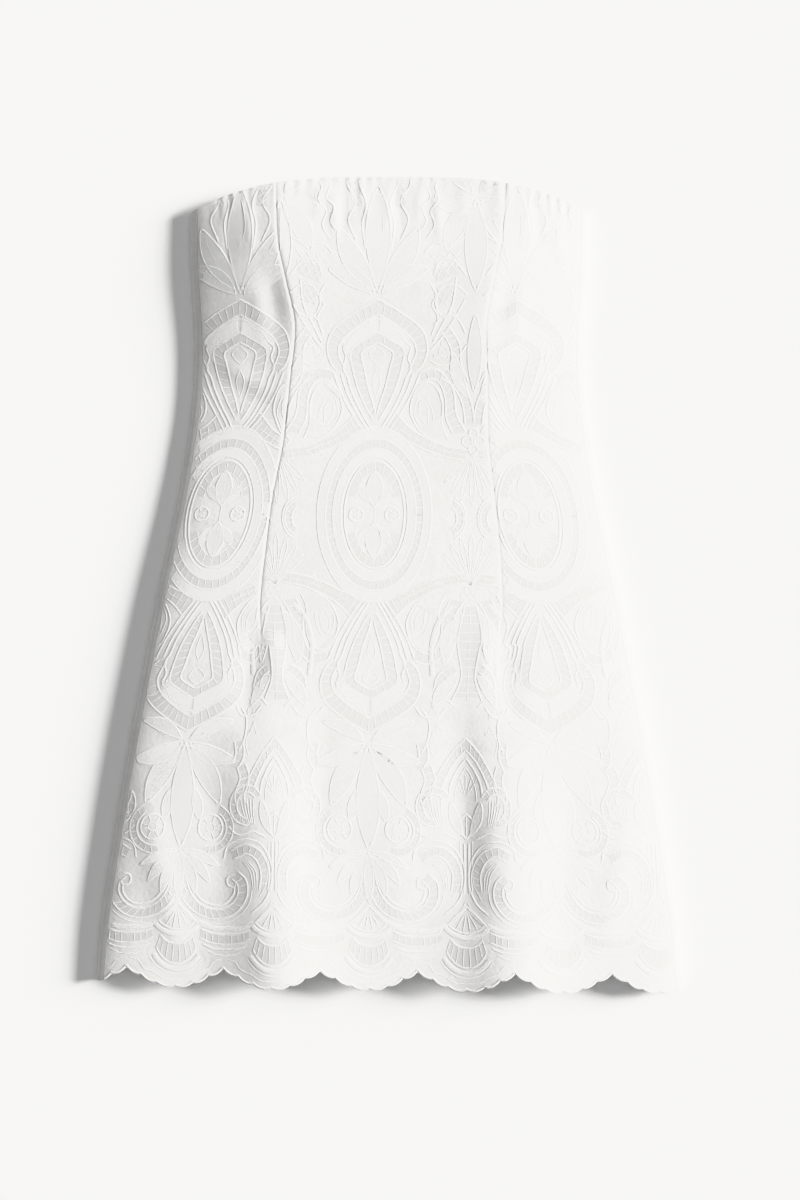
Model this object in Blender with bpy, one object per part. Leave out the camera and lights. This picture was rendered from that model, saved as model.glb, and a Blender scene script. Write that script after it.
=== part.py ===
"""Strapless A-line mini dress of embroidered white cotton, laid flat on its back.

The dress is a hollow tube of cloth. Its front lies over its back, both meet at side seams just inside the
side folds, and a zip closes the centre back. Frame: +Z up, the floor at z = 0, +Y towards the neckline,
+X to the right as seen from above. A place on the cloth is given by its drop, the distance below the top of
the neckline, and by its distance x from the middle. Sizes are in millimetres until a mesh is made.
"""
from collections import namedtuple
from math import asin, cos, exp, hypot, pi, sin

import bmesh
import bpy
from mathutils import Vector

MM = 0.001
COLLECTION_NAME = "strapless_dress"
CUTTER_COLLECTION_NAME = "strapless_dress_tools"

# Driving sizes
NECK_Y = 383.6
CLOTH_WALL = 1.5
SEAM_GAP = 0.3
SEAM_INSET = 7.2
SLOPE_STEP = 0.2

# The section of the tube at each drop: half its width, its height over the floor, the radius of its side
# folds, and the roundness of its top (2 is an ellipse, more is squarer)
SECTION_COLUMNS = ("drop", "half_width", "fullness", "fold_radius", "roundness")
SECTIONS = (
    (0.0, 187.5, 19.0, 6.5, 2.3),
    (80.0, 187.5, 27.5, 7.0, 2.1),
    (150.0, 183.5, 24.0, 6.5, 2.15),
    (190.0, 184.0, 20.5, 6.5, 2.3),
    (230.0, 187.5, 20.0, 6.5, 2.4),
    (300.0, 198.5, 22.0, 7.5, 2.5),
    (380.0, 215.5, 24.0, 8.5, 2.6),
    (460.0, 231.0, 25.5, 9.0, 2.6),
    (540.0, 246.0, 26.0, 9.0, 2.6),
    (620.0, 259.5, 26.0, 8.5, 2.6),
    (700.0, 271.5, 25.0, 8.0, 2.6),
    (765.0, 277.0, 23.0, 7.5, 2.6),
)

# The line of each long front dart, and below its tip the crest of the soft flute that opens from it
SHAPING_COLUMNS = ("drop", "left_x", "right_x")
SHAPING = (
    (0.0, -106.8, 109.5),
    (60.0, -104.8, 105.0),
    (97.0, -97.3, 98.0),
    (140.0, -88.8, 90.5),
    (190.0, -93.5, 92.0),
    (250.0, -100.2, 93.0),
    (300.0, -110.0, 98.5),
    (350.0, -116.5, 103.5),
    (400.0, -121.5, 105.8),
    (450.0, -119.5, 104.5),
    (560.0, -113.5, 109.0),
    (765.0, -103.0, 116.0),
)
DART_TIP_DROP = 440.0
DART_DEPTH = 0.9
DART_FADE = 40.0
DART_HALF_WIDTH = 2.6
RIDGE_HEIGHT = 4.0
RIDGE_SPREAD = 40.0
RIDGE_ROUNDING = 0.14
RIDGE_END_DROP = 330.0
RIDGE_FADE = 160.0
RIDGE_SIDE_FADE = 40.0
FLUTE_START_DROP = 380.0
FLUTE_HEIGHT_AT_HEM = 9.0
FLUTE_SPREAD = 31.0

# Neckline: an arch across the front, straight across the back, drawn in by small puckers
NECK_ARCH = 33.0
NECK_ARCH_POWER = 3.2
NECK_ARCH_REACH = 130.0
PUCKER_PITCH = 10.7
PUCKER_HEIGHT = 0.6
PUCKER_LENGTH = 27.0
PUCKER_SIDE_FADE = 12.0
PITCH_SWING = (0.3, 23.0)
HEIGHT_SWING = (0.25, 31.0)
LENGTH_SWING = (0.2, 17.0)

# Hem: scallops, each with lobes from its middle out to the valley beside it
HEM_DROP = 764.5
HEM_TILT = 0.0145
HEM_REACH = 38.0
SCALLOP_PITCH = 91.3
SCALLOP_CENTRE_X = -19.3
SCALLOP_DEPTH = 20.0
LOBE_BULGE = 2.6
LOBE_FULLNESS = 0.7
LobeEdge = namedtuple("LobeEdge", "across depth")
LOBE_EDGES = (
    LobeEdge(0.0, 17.4),
    LobeEdge(17.0, 14.4),
    LobeEdge(31.4, 7.4),
    LobeEdge(SCALLOP_PITCH / 2, 0.0),
)

# Rows of the cloth, as drops before the neckline and the hem are shaped
NECK_BAND_ROWS = (0.0, 6.0, 14.0)
BODY_ROWS = (
    26.0, 50.0, 78.0, 108.0, 138.0, 168.0, 198.0, 230.0, 265.0, 305.0,
    350.0, 395.0, 440.0, 488.0, 536.0, 584.0, 632.0, 680.0,
)
HEM_BAND_ROWS = (726.0, 740.0, 752.0, HEM_DROP)

# Columns of the front: side panel, the two faces of a dart, middle panel, dart, side panel
SIDE_COLUMNS = 10
DART_COLUMNS = 2
MIDDLE_COLUMNS = 14
FRONT_COLUMNS = 2 * SIDE_COLUMNS + 2 * DART_COLUMNS + MIDDLE_COLUMNS
FRONT_CUTS = 3

# Columns of each half of the back: flat on the floor, round the side fold, and on top up to the side seam
ZIP_STRIP_HALF_WIDTH = 12.5
BACK_NEAR_COLUMNS = (0.0, ZIP_STRIP_HALF_WIDTH, 20.0, 30.0)
BACK_FLAT_COLUMNS = 8
BACK_FOLD_COLUMNS = 4
BACK_TOP_COLUMNS = 3
BACK_NEAR_CUTS = 2
BACK_CUTS = 7
TOP_COLUMN_GROWTH = 1.6
TAPE_COLUMNS = 3

# Centre back zip: the cloth rises over the slider and its pull, so that the underside stays flat
RECESS_HEIGHT = 4.0
RECESS_OUTER_X = BACK_NEAR_COLUMNS[-1]
RECESS_FULL_DROP = 72.0
RECESS_END_DROP = 105.0
ZIP_END_DROP = 395.0
SLIDER_DROP = 42.0
ZIP_OPEN_HALF_WIDTH = 1.5
ZIP_CLOSED_DROP = 60.0
ZIP_OPEN_DROP = 48.0
TAPE_TOP_ROW = 3.0
TAPE_WALL = 0.6
TAPE_GAP = 0.3
TAPE_HALF_WIDTH = 12.0
COIL_WIDTH = 1.65
COIL_EDGE = 0.2
COIL_HEIGHT = 1.4

# Slider and pull tab
PIN_Z = 1.65
PIN_RADIUS = 0.4
PIN_HALF_LENGTH = 2.7
PIN_SIDES = 12
EYE_RADIUS = 1.1
EYE_HOLE_RADIUS = 0.7
EYE_STEPS = 14
TAB_LENGTH = 20.0
TAB_HALF_THICKNESS = 0.5
TAB_HALF_WIDTH = 2.0
Block = namedtuple("Block", "name centre_x half_x half_y low_z high_z")
SLIDER_BLOCKS = (
    Block("inner_plate", 0.0, 3.5, 4.5, 7.4, 8.2),
    Block("neck", 0.0, 1.2, 2.0, 3.4, 7.7),
    Block("outer_plate", 0.0, 3.1, 4.5, 3.05, 3.7),
    Block("left_lug", -2.7, 0.4, 1.0, 1.05, 3.3),
    Block("right_lug", 2.7, 0.4, 1.0, 1.05, 3.3),
)

# Materials: name, colour, roughness, metallic
COTTON = ("white_cotton", (0.91, 0.90, 0.87), 0.85, 0.0)
TAPE = ("zip_tape_polyester", (0.88, 0.88, 0.86), 0.7, 0.0)
METAL = ("enamelled_zip_metal", (0.80, 0.80, 0.79), 0.35, 0.9)


def clamp(value, low=0.0, high=1.0):
    return max(low, min(high, value))


def ease(value):
    """Smooth step from 0 to 1."""
    part = clamp(value)
    return part * part * (3.0 - 2.0 * part)


def read_table(table, column, place):
    """Value of a column of a table at a place between its rows, on a smooth curve through them."""
    last = len(table) - 1
    row = 0
    while row < last - 1 and place > table[row + 1][0]:
        row += 1
    before = table[max(row - 1, 0)]
    low = table[row]
    high = table[row + 1]
    after = table[min(row + 2, last)]
    span = high[0] - low[0]
    part = clamp((place - low[0]) / span)
    low_slope = (high[column] - before[column]) / (high[0] - before[0])
    high_slope = (after[column] - low[column]) / (after[0] - low[0])
    square = part * part
    cube = square * part
    return (
        (2 * cube - 3 * square + 1) * low[column]
        + (cube - 2 * square + part) * span * low_slope
        + (3 * square - 2 * cube) * high[column]
        + (cube - square) * span * high_slope
    )


def swing(x, settings):
    """Slow change along the neckline, from its size and the length it takes."""
    size, length = settings
    return size * sin(x / length)


def section(drop, name):
    return read_table(SECTIONS, SECTION_COLUMNS.index(name), drop)


def shaping_x(drop, name):
    return read_table(SHAPING, SHAPING_COLUMNS.index(name), drop)


def scallop_lift(x):
    """How far the hem stands above the lowest line of the scallops, in height on the sheet."""
    steps = (x - SCALLOP_CENTRE_X) / SCALLOP_PITCH
    across = abs(steps - round(steps)) * SCALLOP_PITCH
    lobe = 0
    while lobe < len(LOBE_EDGES) - 2 and across > LOBE_EDGES[lobe + 1].across:
        lobe += 1
    inner = LOBE_EDGES[lobe]
    outer = LOBE_EDGES[lobe + 1]
    part = clamp((across - inner.across) / (outer.across - inner.across))
    depth = inner.depth + (outer.depth - inner.depth) * part
    return SCALLOP_DEPTH - depth - LOBE_BULGE * sin(pi * part) ** LOBE_FULLNESS


def shaped_drop(x, row_drop, neck_dip):
    """Drop of a point of a row after the neckline and the hem have been shaped."""
    near_neck = clamp(1.0 - row_drop / NECK_ARCH_REACH) ** 2
    near_hem = clamp(1.0 - (HEM_DROP - row_drop) / HEM_REACH)
    tilt = HEM_TILT * x * row_drop / HEM_DROP
    return row_drop + neck_dip * near_neck + tilt - scallop_lift(x) * near_hem


def front_neck_dip(x, half_width):
    return NECK_ARCH * abs(x / half_width) ** NECK_ARCH_POWER


def top_profile(x, drop):
    """Height of the plain top of the tube, without darts, flutes and puckers."""
    half_width = section(drop, "half_width")
    radius = section(drop, "fold_radius")
    roundness = section(drop, "roundness")
    rise = section(drop, "fullness") - radius
    part = clamp(abs(x) / half_width)
    return radius + rise * (1.0 - part**roundness) ** (1.0 / roundness)


def dart_groove(x, drop):
    depth = DART_DEPTH * ease((DART_TIP_DROP - drop) / DART_FADE)
    groove = 0.0
    for name in ("left_x", "right_x"):
        away = abs(x - shaping_x(drop, name)) / DART_HALF_WIDTH
        groove += depth * clamp(1.0 - away)
    return groove


def dart_ridge(x, drop, half_width):
    """The soft ridge along each dart, where the bust's shaping bends the cloth."""
    height = RIDGE_HEIGHT * ease((RIDGE_END_DROP - drop) / RIDGE_FADE)
    side = ease((half_width - SEAM_INSET - abs(x)) / RIDGE_SIDE_FADE)
    rise = 0.0
    for name in ("left_x", "right_x"):
        away = (x - shaping_x(drop, name)) / RIDGE_SPREAD
        rise += height * exp(-hypot(away, RIDGE_ROUNDING))
    return rise * side


def flute_rise(x, drop):
    height = FLUTE_HEIGHT_AT_HEM * ease((drop - FLUTE_START_DROP) / (HEM_DROP - FLUTE_START_DROP))
    rise = 0.0
    for name in ("left_x", "right_x"):
        away = (x - shaping_x(drop, name)) / FLUTE_SPREAD
        rise += height * exp(-0.5 * away * away)
    return rise


def pucker_rise(x, drop, half_width):
    """Small uneven puckers that fall from the neckline."""
    below = drop - front_neck_dip(x, half_width)
    fade = clamp(1.0 - below / (PUCKER_LENGTH * (1.0 - swing(x, LENGTH_SWING))))
    side = ease((half_width - SEAM_INSET - abs(x)) / PUCKER_SIDE_FADE)
    phase = 2.0 * pi * (x / PUCKER_PITCH + swing(x, PITCH_SWING))
    height = PUCKER_HEIGHT * (1.0 - swing(x, HEIGHT_SWING))
    return height * fade * side * sin(phase)


def front_height(x, drop):
    half_width = section(drop, "half_width")
    shaped = top_profile(x, drop) - dart_groove(x, drop) + dart_ridge(x, drop, half_width)
    return shaped + flute_rise(x, drop) + pucker_rise(x, drop, half_width)


def front_normal(x, drop):
    """Outward direction of the front at a point."""
    slope_x = (front_height(x + SLOPE_STEP, drop) - front_height(x - SLOPE_STEP, drop)) / (2 * SLOPE_STEP)
    slope_y = (front_height(x, drop - SLOPE_STEP) - front_height(x, drop + SLOPE_STEP)) / (2 * SLOPE_STEP)
    return Vector((-slope_x, -slope_y, 1.0)).normalized()


def front_column_x(column, drop):
    """Distance from the middle of a column of the front, counted from the left side seam."""
    edge = section(drop, "half_width") - SEAM_INSET
    left = shaping_x(drop, "left_x")
    right = shaping_x(drop, "right_x")
    marks = (
        (0, -edge),
        (SIDE_COLUMNS, left - DART_HALF_WIDTH),
        (SIDE_COLUMNS + DART_COLUMNS, left + DART_HALF_WIDTH),
        (SIDE_COLUMNS + DART_COLUMNS + MIDDLE_COLUMNS, right - DART_HALF_WIDTH),
        (FRONT_COLUMNS - SIDE_COLUMNS, right + DART_HALF_WIDTH),
        (FRONT_COLUMNS, edge),
    )
    for (low, low_x), (high, high_x) in zip(marks, marks[1:]):
        if column <= high:
            return low_x + (high_x - low_x) * (column - low) / (high - low)
    return edge


def front_point(column, row_drop, depth):
    """A point of the front, at its outer face for depth 0 and its inner face for depth 1."""
    x = front_column_x(column, row_drop)
    half_width = section(row_drop, "half_width")
    drop = shaped_drop(x, row_drop, front_neck_dip(x, half_width))
    x = front_column_x(column, drop)
    outer = Vector((x, NECK_Y - drop, front_height(x, drop)))
    return outer - front_normal(x, drop) * (CLOTH_WALL * depth)


def recess_height(x, drop):
    """How far the back stands off the floor over the zip's slider and pull."""
    across = ease((RECESS_OUTER_X - abs(x)) / (RECESS_OUTER_X - ZIP_STRIP_HALF_WIDTH))
    along = ease((RECESS_END_DROP - drop) / (RECESS_END_DROP - RECESS_FULL_DROP))
    return RECESS_HEIGHT * across * along


def zip_edge_x(drop):
    """Distance of the cloth's centre back edge from the middle: shut, and a little open at the slider."""
    shut = ease((drop - ZIP_OPEN_DROP) / (ZIP_CLOSED_DROP - ZIP_OPEN_DROP))
    closed = SEAM_GAP / 2
    return closed + (ZIP_OPEN_HALF_WIDTH - closed) * (1.0 - shut)


def back_section_point(column, drop):
    """Place and outward direction, across and up, of a column of the back's right half."""
    half_width = section(drop, "half_width")
    radius = section(drop, "fold_radius")
    flat_edge = half_width - radius
    near = len(BACK_NEAR_COLUMNS) - 1
    fold_start = near + BACK_FLAT_COLUMNS
    top_start = fold_start + BACK_FOLD_COLUMNS
    if column <= near:
        low = min(int(column), near - 1)
        part = column - low
        x = BACK_NEAR_COLUMNS[low] + (BACK_NEAR_COLUMNS[low + 1] - BACK_NEAR_COLUMNS[low]) * part
        return max(x, zip_edge_x(drop)), recess_height(x, drop), (0.0, -1.0)
    if column <= fold_start:
        part = (column - near) / BACK_FLAT_COLUMNS
        x = RECESS_OUTER_X + (flat_edge - RECESS_OUTER_X) * part
        return x, 0.0, (0.0, -1.0)
    if column <= top_start:
        turn = (column - fold_start) / BACK_FOLD_COLUMNS * pi / 2
        return flat_edge + radius * sin(turn), radius * (1.0 - cos(turn)), (sin(turn), -cos(turn))
    part = (column - top_start) / BACK_TOP_COLUMNS
    x = half_width - (SEAM_INSET - SEAM_GAP) * part**TOP_COLUMN_GROWTH
    normal = front_normal(min(x, half_width - 2 * SLOPE_STEP), drop)
    return x, top_profile(x, drop), (normal.x, normal.z)


def back_point(column, row_drop, depth, side):
    """A point of one half of the back; side is 1 on the right and -1 on the left."""
    half_width = section(row_drop, "half_width")
    x = back_section_point(column, row_drop)[0]
    on_top = column > len(BACK_NEAR_COLUMNS) - 1 + BACK_FLAT_COLUMNS + BACK_FOLD_COLUMNS
    dip = front_neck_dip(x, half_width) if on_top else NECK_ARCH
    drop = shaped_drop(side * x, row_drop, dip)
    x, height, direction = back_section_point(column, drop)
    inward = CLOTH_WALL * depth
    return Vector((
        side * (x - direction[0] * inward),
        NECK_Y - drop,
        height - direction[1] * inward,
    ))


def tape_point(column, row_drop, depth, side):
    """A point of one zip tape, which lies on the inner face of the back; its coil is the thick edge."""
    drop = shaped_drop(0.0, row_drop, NECK_ARCH)
    edge = zip_edge_x(drop)
    places = (edge, edge + COIL_WIDTH, edge + COIL_WIDTH + COIL_EDGE, TAPE_HALF_WIDTH)
    walls = (COIL_HEIGHT, COIL_HEIGHT, TAPE_WALL, TAPE_WALL)
    index = int(round(column))
    base = recess_height(0.0, drop) + CLOTH_WALL + TAPE_GAP
    return Vector((side * places[index], NECK_Y - drop, base + walls[index] * depth))


def make_material(settings):
    name, colour, roughness, metallic = settings
    material = bpy.data.materials.new(name)
    material.use_nodes = True
    shader = material.node_tree.nodes["Principled BSDF"]
    shader.inputs["Base Color"].default_value = (*colour, 1.0)
    shader.inputs["Roughness"].default_value = roughness
    shader.inputs["Metallic"].default_value = metallic
    material.diffuse_color = (*colour, 1.0)
    return material


def add_object(name, mesh, material, collection):
    thing = bpy.data.objects.new(name, mesh)
    mesh.materials.append(material)
    collection.objects.link(thing)
    return thing


def make_cloth(name, columns, rows, cuts_by_row, place, material, collection):
    """Shape a flat slab of cloth, drawn as columns and rows, into a panel.

    cuts_by_row gives, for a row line, the extra cuts of each column there; place turns a column, a row's drop
    and a depth of 0 or 1 into a point.
    """
    sheet = bmesh.new()
    bmesh.ops.create_grid(sheet, x_segments=columns, y_segments=len(rows) - 1, size=0.5)
    for vertex in sheet.verts:
        column = round((vertex.co.x + 0.5) * columns)
        line = round((0.5 - vertex.co.y) * (len(rows) - 1))
        vertex.co = (column, line, 0.0)
    groups = {}
    for edge in sheet.edges:
        first, second = (vertex.co for vertex in edge.verts)
        if abs(first.y - second.y) < 0.5:
            cuts = cuts_by_row(int(round(first.y)), int(round(min(first.x, second.x))))
            if cuts:
                groups.setdefault(cuts, []).append(edge)
    for cuts in sorted(groups):
        bmesh.ops.subdivide_edges(sheet, edges=groups[cuts], cuts=cuts, use_grid_fill=False)
    raised = bmesh.ops.extrude_face_region(sheet, geom=list(sheet.faces))["geom"]
    for item in raised:
        if isinstance(item, bmesh.types.BMVert):
            item.co.z = 1.0
    for vertex in sheet.verts:
        column, line, depth = vertex.co
        vertex.co = place(column, rows[int(round(line))], depth) * MM
    bmesh.ops.recalc_face_normals(sheet, faces=list(sheet.faces))
    mesh = bpy.data.meshes.new(name)
    sheet.to_mesh(mesh)
    sheet.free()
    mesh.shade_smooth()
    mesh.set_sharp_from_angle(angle=pi / 4)
    return add_object(name, mesh, material, collection)


def make_front(material, collection):
    rows = NECK_BAND_ROWS + BODY_ROWS + HEM_BAND_ROWS
    neck_lines = len(NECK_BAND_ROWS)
    hem_lines = len(rows) - len(HEM_BAND_ROWS)
    dart_columns = range(SIDE_COLUMNS, SIDE_COLUMNS + DART_COLUMNS)

    def cuts_by_row(line, column):
        in_dart = column in dart_columns or FRONT_COLUMNS - 1 - column in dart_columns
        in_band = line < neck_lines or line > hem_lines
        return FRONT_CUTS if in_band and not in_dart else 0

    return make_cloth("front", FRONT_COLUMNS, rows, cuts_by_row, front_point, material, collection)


def make_back(name, side, material, collection):
    rows = (NECK_BAND_ROWS[0],) + BODY_ROWS + (HEM_BAND_ROWS[0], HEM_DROP)
    near = len(BACK_NEAR_COLUMNS) - 1
    columns = near + BACK_FLAT_COLUMNS + BACK_FOLD_COLUMNS + BACK_TOP_COLUMNS

    def cuts_by_row(line, column):
        if line < len(rows) - 1 or column >= near + BACK_FLAT_COLUMNS:
            return 0
        return BACK_CUTS if column >= near else BACK_NEAR_CUTS

    def place(column, row_drop, depth):
        return back_point(column, row_drop, depth, side)

    return make_cloth(name, columns, rows, cuts_by_row, place, material, collection)


def make_tape(name, side, material, collection):
    rows = (TAPE_TOP_ROW,) + tuple(drop for drop in BODY_ROWS if drop <= ZIP_END_DROP)

    def place(column, row_drop, depth):
        return tape_point(column, row_drop, depth, side)

    return make_cloth(name, TAPE_COLUMNS, rows, lambda line, column: 0, place, material, collection)


def make_slider(material, collection, cutters):
    """Slider with a plate inside the dress, a neck through the zip, and lugs with a pin outside it."""
    y = (NECK_Y - SLIDER_DROP) * MM
    blocks = []
    for size in SLIDER_BLOCKS:
        middle_z = (size.low_z + size.high_z) / 2
        bpy.ops.mesh.primitive_cube_add(size=1.0, location=(size.centre_x * MM, y, middle_z * MM))
        block = bpy.context.object
        block.name = size.name
        block.scale = (2 * size.half_x * MM, 2 * size.half_y * MM, (size.high_z - size.low_z) * MM)
        bpy.ops.object.transform_apply(location=False, rotation=False, scale=True)
        blocks.append(block)
    bpy.ops.mesh.primitive_cylinder_add(
        vertices=PIN_SIDES,
        radius=PIN_RADIUS * MM,
        depth=2 * PIN_HALF_LENGTH * MM,
        location=(0.0, y, PIN_Z * MM),
        rotation=(0.0, pi / 2, 0.0),
    )
    pin = bpy.context.object
    pin.name = "pin"
    blocks.append(pin)
    slider = blocks[0]
    slider.name = "zip_slider"
    slider.data.materials.append(material)
    move_to(slider, collection)
    for block in blocks[1:]:
        block.hide_render = True
        block.display_type = "WIRE"
        move_to(block, cutters)
        union = slider.modifiers.new(f"join_{block.name}", "BOOLEAN")
        union.operation = "UNION"
        union.object = block
    return slider


def make_pull(material, collection):
    """Pull tab: a flat bar that ends in an eye round the slider's pin, drawn as its side outline."""
    outline = bpy.data.curves.new("zip_pull", "CURVE")
    outline.dimensions = "2D"
    outline.fill_mode = "BOTH"
    outline.extrude = TAB_HALF_WIDTH * MM
    root = pi - asin(TAB_HALF_THICKNESS / EYE_RADIUS)
    turns = [-root + 2 * root * step / EYE_STEPS for step in range(EYE_STEPS + 1)]
    edge = [(EYE_RADIUS * cos(turn), EYE_RADIUS * sin(turn)) for turn in turns]
    edge += [
        (-TAB_LENGTH + TAB_HALF_THICKNESS, TAB_HALF_THICKNESS),
        (-TAB_LENGTH, 0.0),
        (-TAB_LENGTH + TAB_HALF_THICKNESS, -TAB_HALF_THICKNESS),
    ]
    hole_turns = [2 * pi * step / PIN_SIDES for step in range(PIN_SIDES)]
    hole = [(EYE_HOLE_RADIUS * cos(turn), EYE_HOLE_RADIUS * sin(turn)) for turn in hole_turns]
    for points in (edge, hole):
        spline = outline.splines.new("POLY")
        spline.points.add(len(points) - 1)
        for point, (along, up) in zip(spline.points, points):
            point.co = (along * MM, up * MM, 0.0, 1.0)
        spline.use_cyclic_u = True
    pull = bpy.data.objects.new("zip_pull", outline)
    outline.materials.append(material)
    collection.objects.link(pull)
    pull.location = (0.0, (NECK_Y - SLIDER_DROP) * MM, PIN_Z * MM)
    pull.rotation_euler = (pi / 2, 0.0, pi / 2)
    return pull


def move_to(thing, collection):
    for owner in list(thing.users_collection):
        owner.objects.unlink(thing)
    collection.objects.link(thing)


def new_collection(name):
    collection = bpy.data.collections.new(name)
    bpy.context.scene.collection.children.link(collection)
    return collection


def main():
    for thing in list(bpy.data.objects):
        bpy.data.objects.remove(thing, do_unlink=True)
    collection = new_collection(COLLECTION_NAME)
    cutters = new_collection(CUTTER_COLLECTION_NAME)
    cotton = make_material(COTTON)
    tape = make_material(TAPE)
    metal = make_material(METAL)
    make_front(cotton, collection)
    for name, side in (("left", -1), ("right", 1)):
        make_back(f"back_{name}", side, cotton, collection)
        make_tape(f"zip_tape_{name}", side, tape, collection)
    make_slider(metal, collection, cutters)
    make_pull(metal, collection)


if __name__ == "__main__":
    main()
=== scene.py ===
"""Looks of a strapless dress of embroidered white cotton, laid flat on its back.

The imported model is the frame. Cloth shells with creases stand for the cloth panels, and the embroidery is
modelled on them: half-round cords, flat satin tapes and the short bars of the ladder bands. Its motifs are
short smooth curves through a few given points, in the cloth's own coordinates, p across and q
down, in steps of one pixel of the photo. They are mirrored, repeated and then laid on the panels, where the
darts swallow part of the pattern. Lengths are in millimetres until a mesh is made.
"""
from __future__ import annotations

import logging
import math
from dataclasses import dataclass, field
from enum import Enum
from typing import Callable, NamedTuple, Sequence

import bpy
import numpy as np
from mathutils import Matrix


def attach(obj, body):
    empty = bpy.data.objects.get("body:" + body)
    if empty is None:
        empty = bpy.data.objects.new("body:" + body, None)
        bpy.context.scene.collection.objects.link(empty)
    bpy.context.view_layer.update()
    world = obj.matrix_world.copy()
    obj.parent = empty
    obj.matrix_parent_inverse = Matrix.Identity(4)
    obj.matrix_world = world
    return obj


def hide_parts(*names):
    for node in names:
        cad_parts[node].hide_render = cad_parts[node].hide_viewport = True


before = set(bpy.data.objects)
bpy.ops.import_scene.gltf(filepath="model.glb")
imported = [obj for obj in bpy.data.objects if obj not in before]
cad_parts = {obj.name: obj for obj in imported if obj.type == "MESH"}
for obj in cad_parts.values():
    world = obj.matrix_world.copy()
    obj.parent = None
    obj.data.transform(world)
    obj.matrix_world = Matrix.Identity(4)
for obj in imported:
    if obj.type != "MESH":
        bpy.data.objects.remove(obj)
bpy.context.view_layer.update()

log = logging.getLogger("dress")

MM = 0.001
PIXEL = 0.94
"""Size of one photo pixel at the dress, in millimetres."""
PHOTO_MIDDLE = 389.5
"""Photo column over the middle of the dress."""
PHOTO_NECK = 177.0
"""Photo row of the top of the neckline."""
NECK_Y = 383.6
HEM_DROP = 764.5
SEAM_INSET = 7.2
SEAM_GAP = 0.3

Array = np.ndarray
Points = Array
Colour = tuple[float, float, float, float]


def ease(value: Array) -> Array:
    """Smooth step from 0 to 1.

    Args:
        value: how far the way has gone; it is held between 0 and 1.

    Returns:
        The share, from 0 to 1.
    """
    part = np.clip(value, 0.0, 1.0)
    return part * part * (3.0 - 2.0 * part)


class Table:
    """Smooth curves through the rows of a short table with named columns."""

    def __init__(self, columns: str, rows: Sequence[tuple[float, ...]]) -> None:
        """Keeps the rows.

        Args:
            columns: the names of the columns, the first being the place.
            rows: one tuple a row, in the order of the place.
        """
        self.names = columns.split()
        self.rows = np.array(rows, float)

    def read(self, name: str, place: Array) -> Array:
        """Values of a column.

        Args:
            name: the column's name.
            place: where to read it.

        Returns:
            One value for each place.
        """
        column = self.rows[:, self.names.index(name)]
        marks = self.rows[:, 0]
        last = len(marks) - 1
        place = np.asarray(place, float)
        row = np.clip(np.searchsorted(marks, place) - 1, 0, last - 1)
        before = np.maximum(row - 1, 0)
        after = np.minimum(row + 2, last)
        span = marks[row + 1] - marks[row]
        part = np.clip((place - marks[row]) / span, 0.0, 1.0)
        low_slope = (column[row + 1] - column[before]) / (marks[row + 1] - marks[before])
        high_slope = (column[after] - column[row]) / (marks[after] - marks[row])
        square = part * part
        cube = square * part
        return (
            (2 * cube - 3 * square + 1) * column[row]
            + (cube - 2 * square + part) * span * low_slope
            + (3 * square - 2 * cube) * column[row + 1]
            + (cube - square) * span * high_slope
        )


class Crease(NamedTuple):
    """A soft ridge or trough of the cloth, placed one by one.

    x and drop are its middle, turn is its lean from straight down in degrees, and height is under 0 for a
    trough.
    """

    x: float
    drop: float
    length: float
    turn: float
    width: float
    height: float


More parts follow.
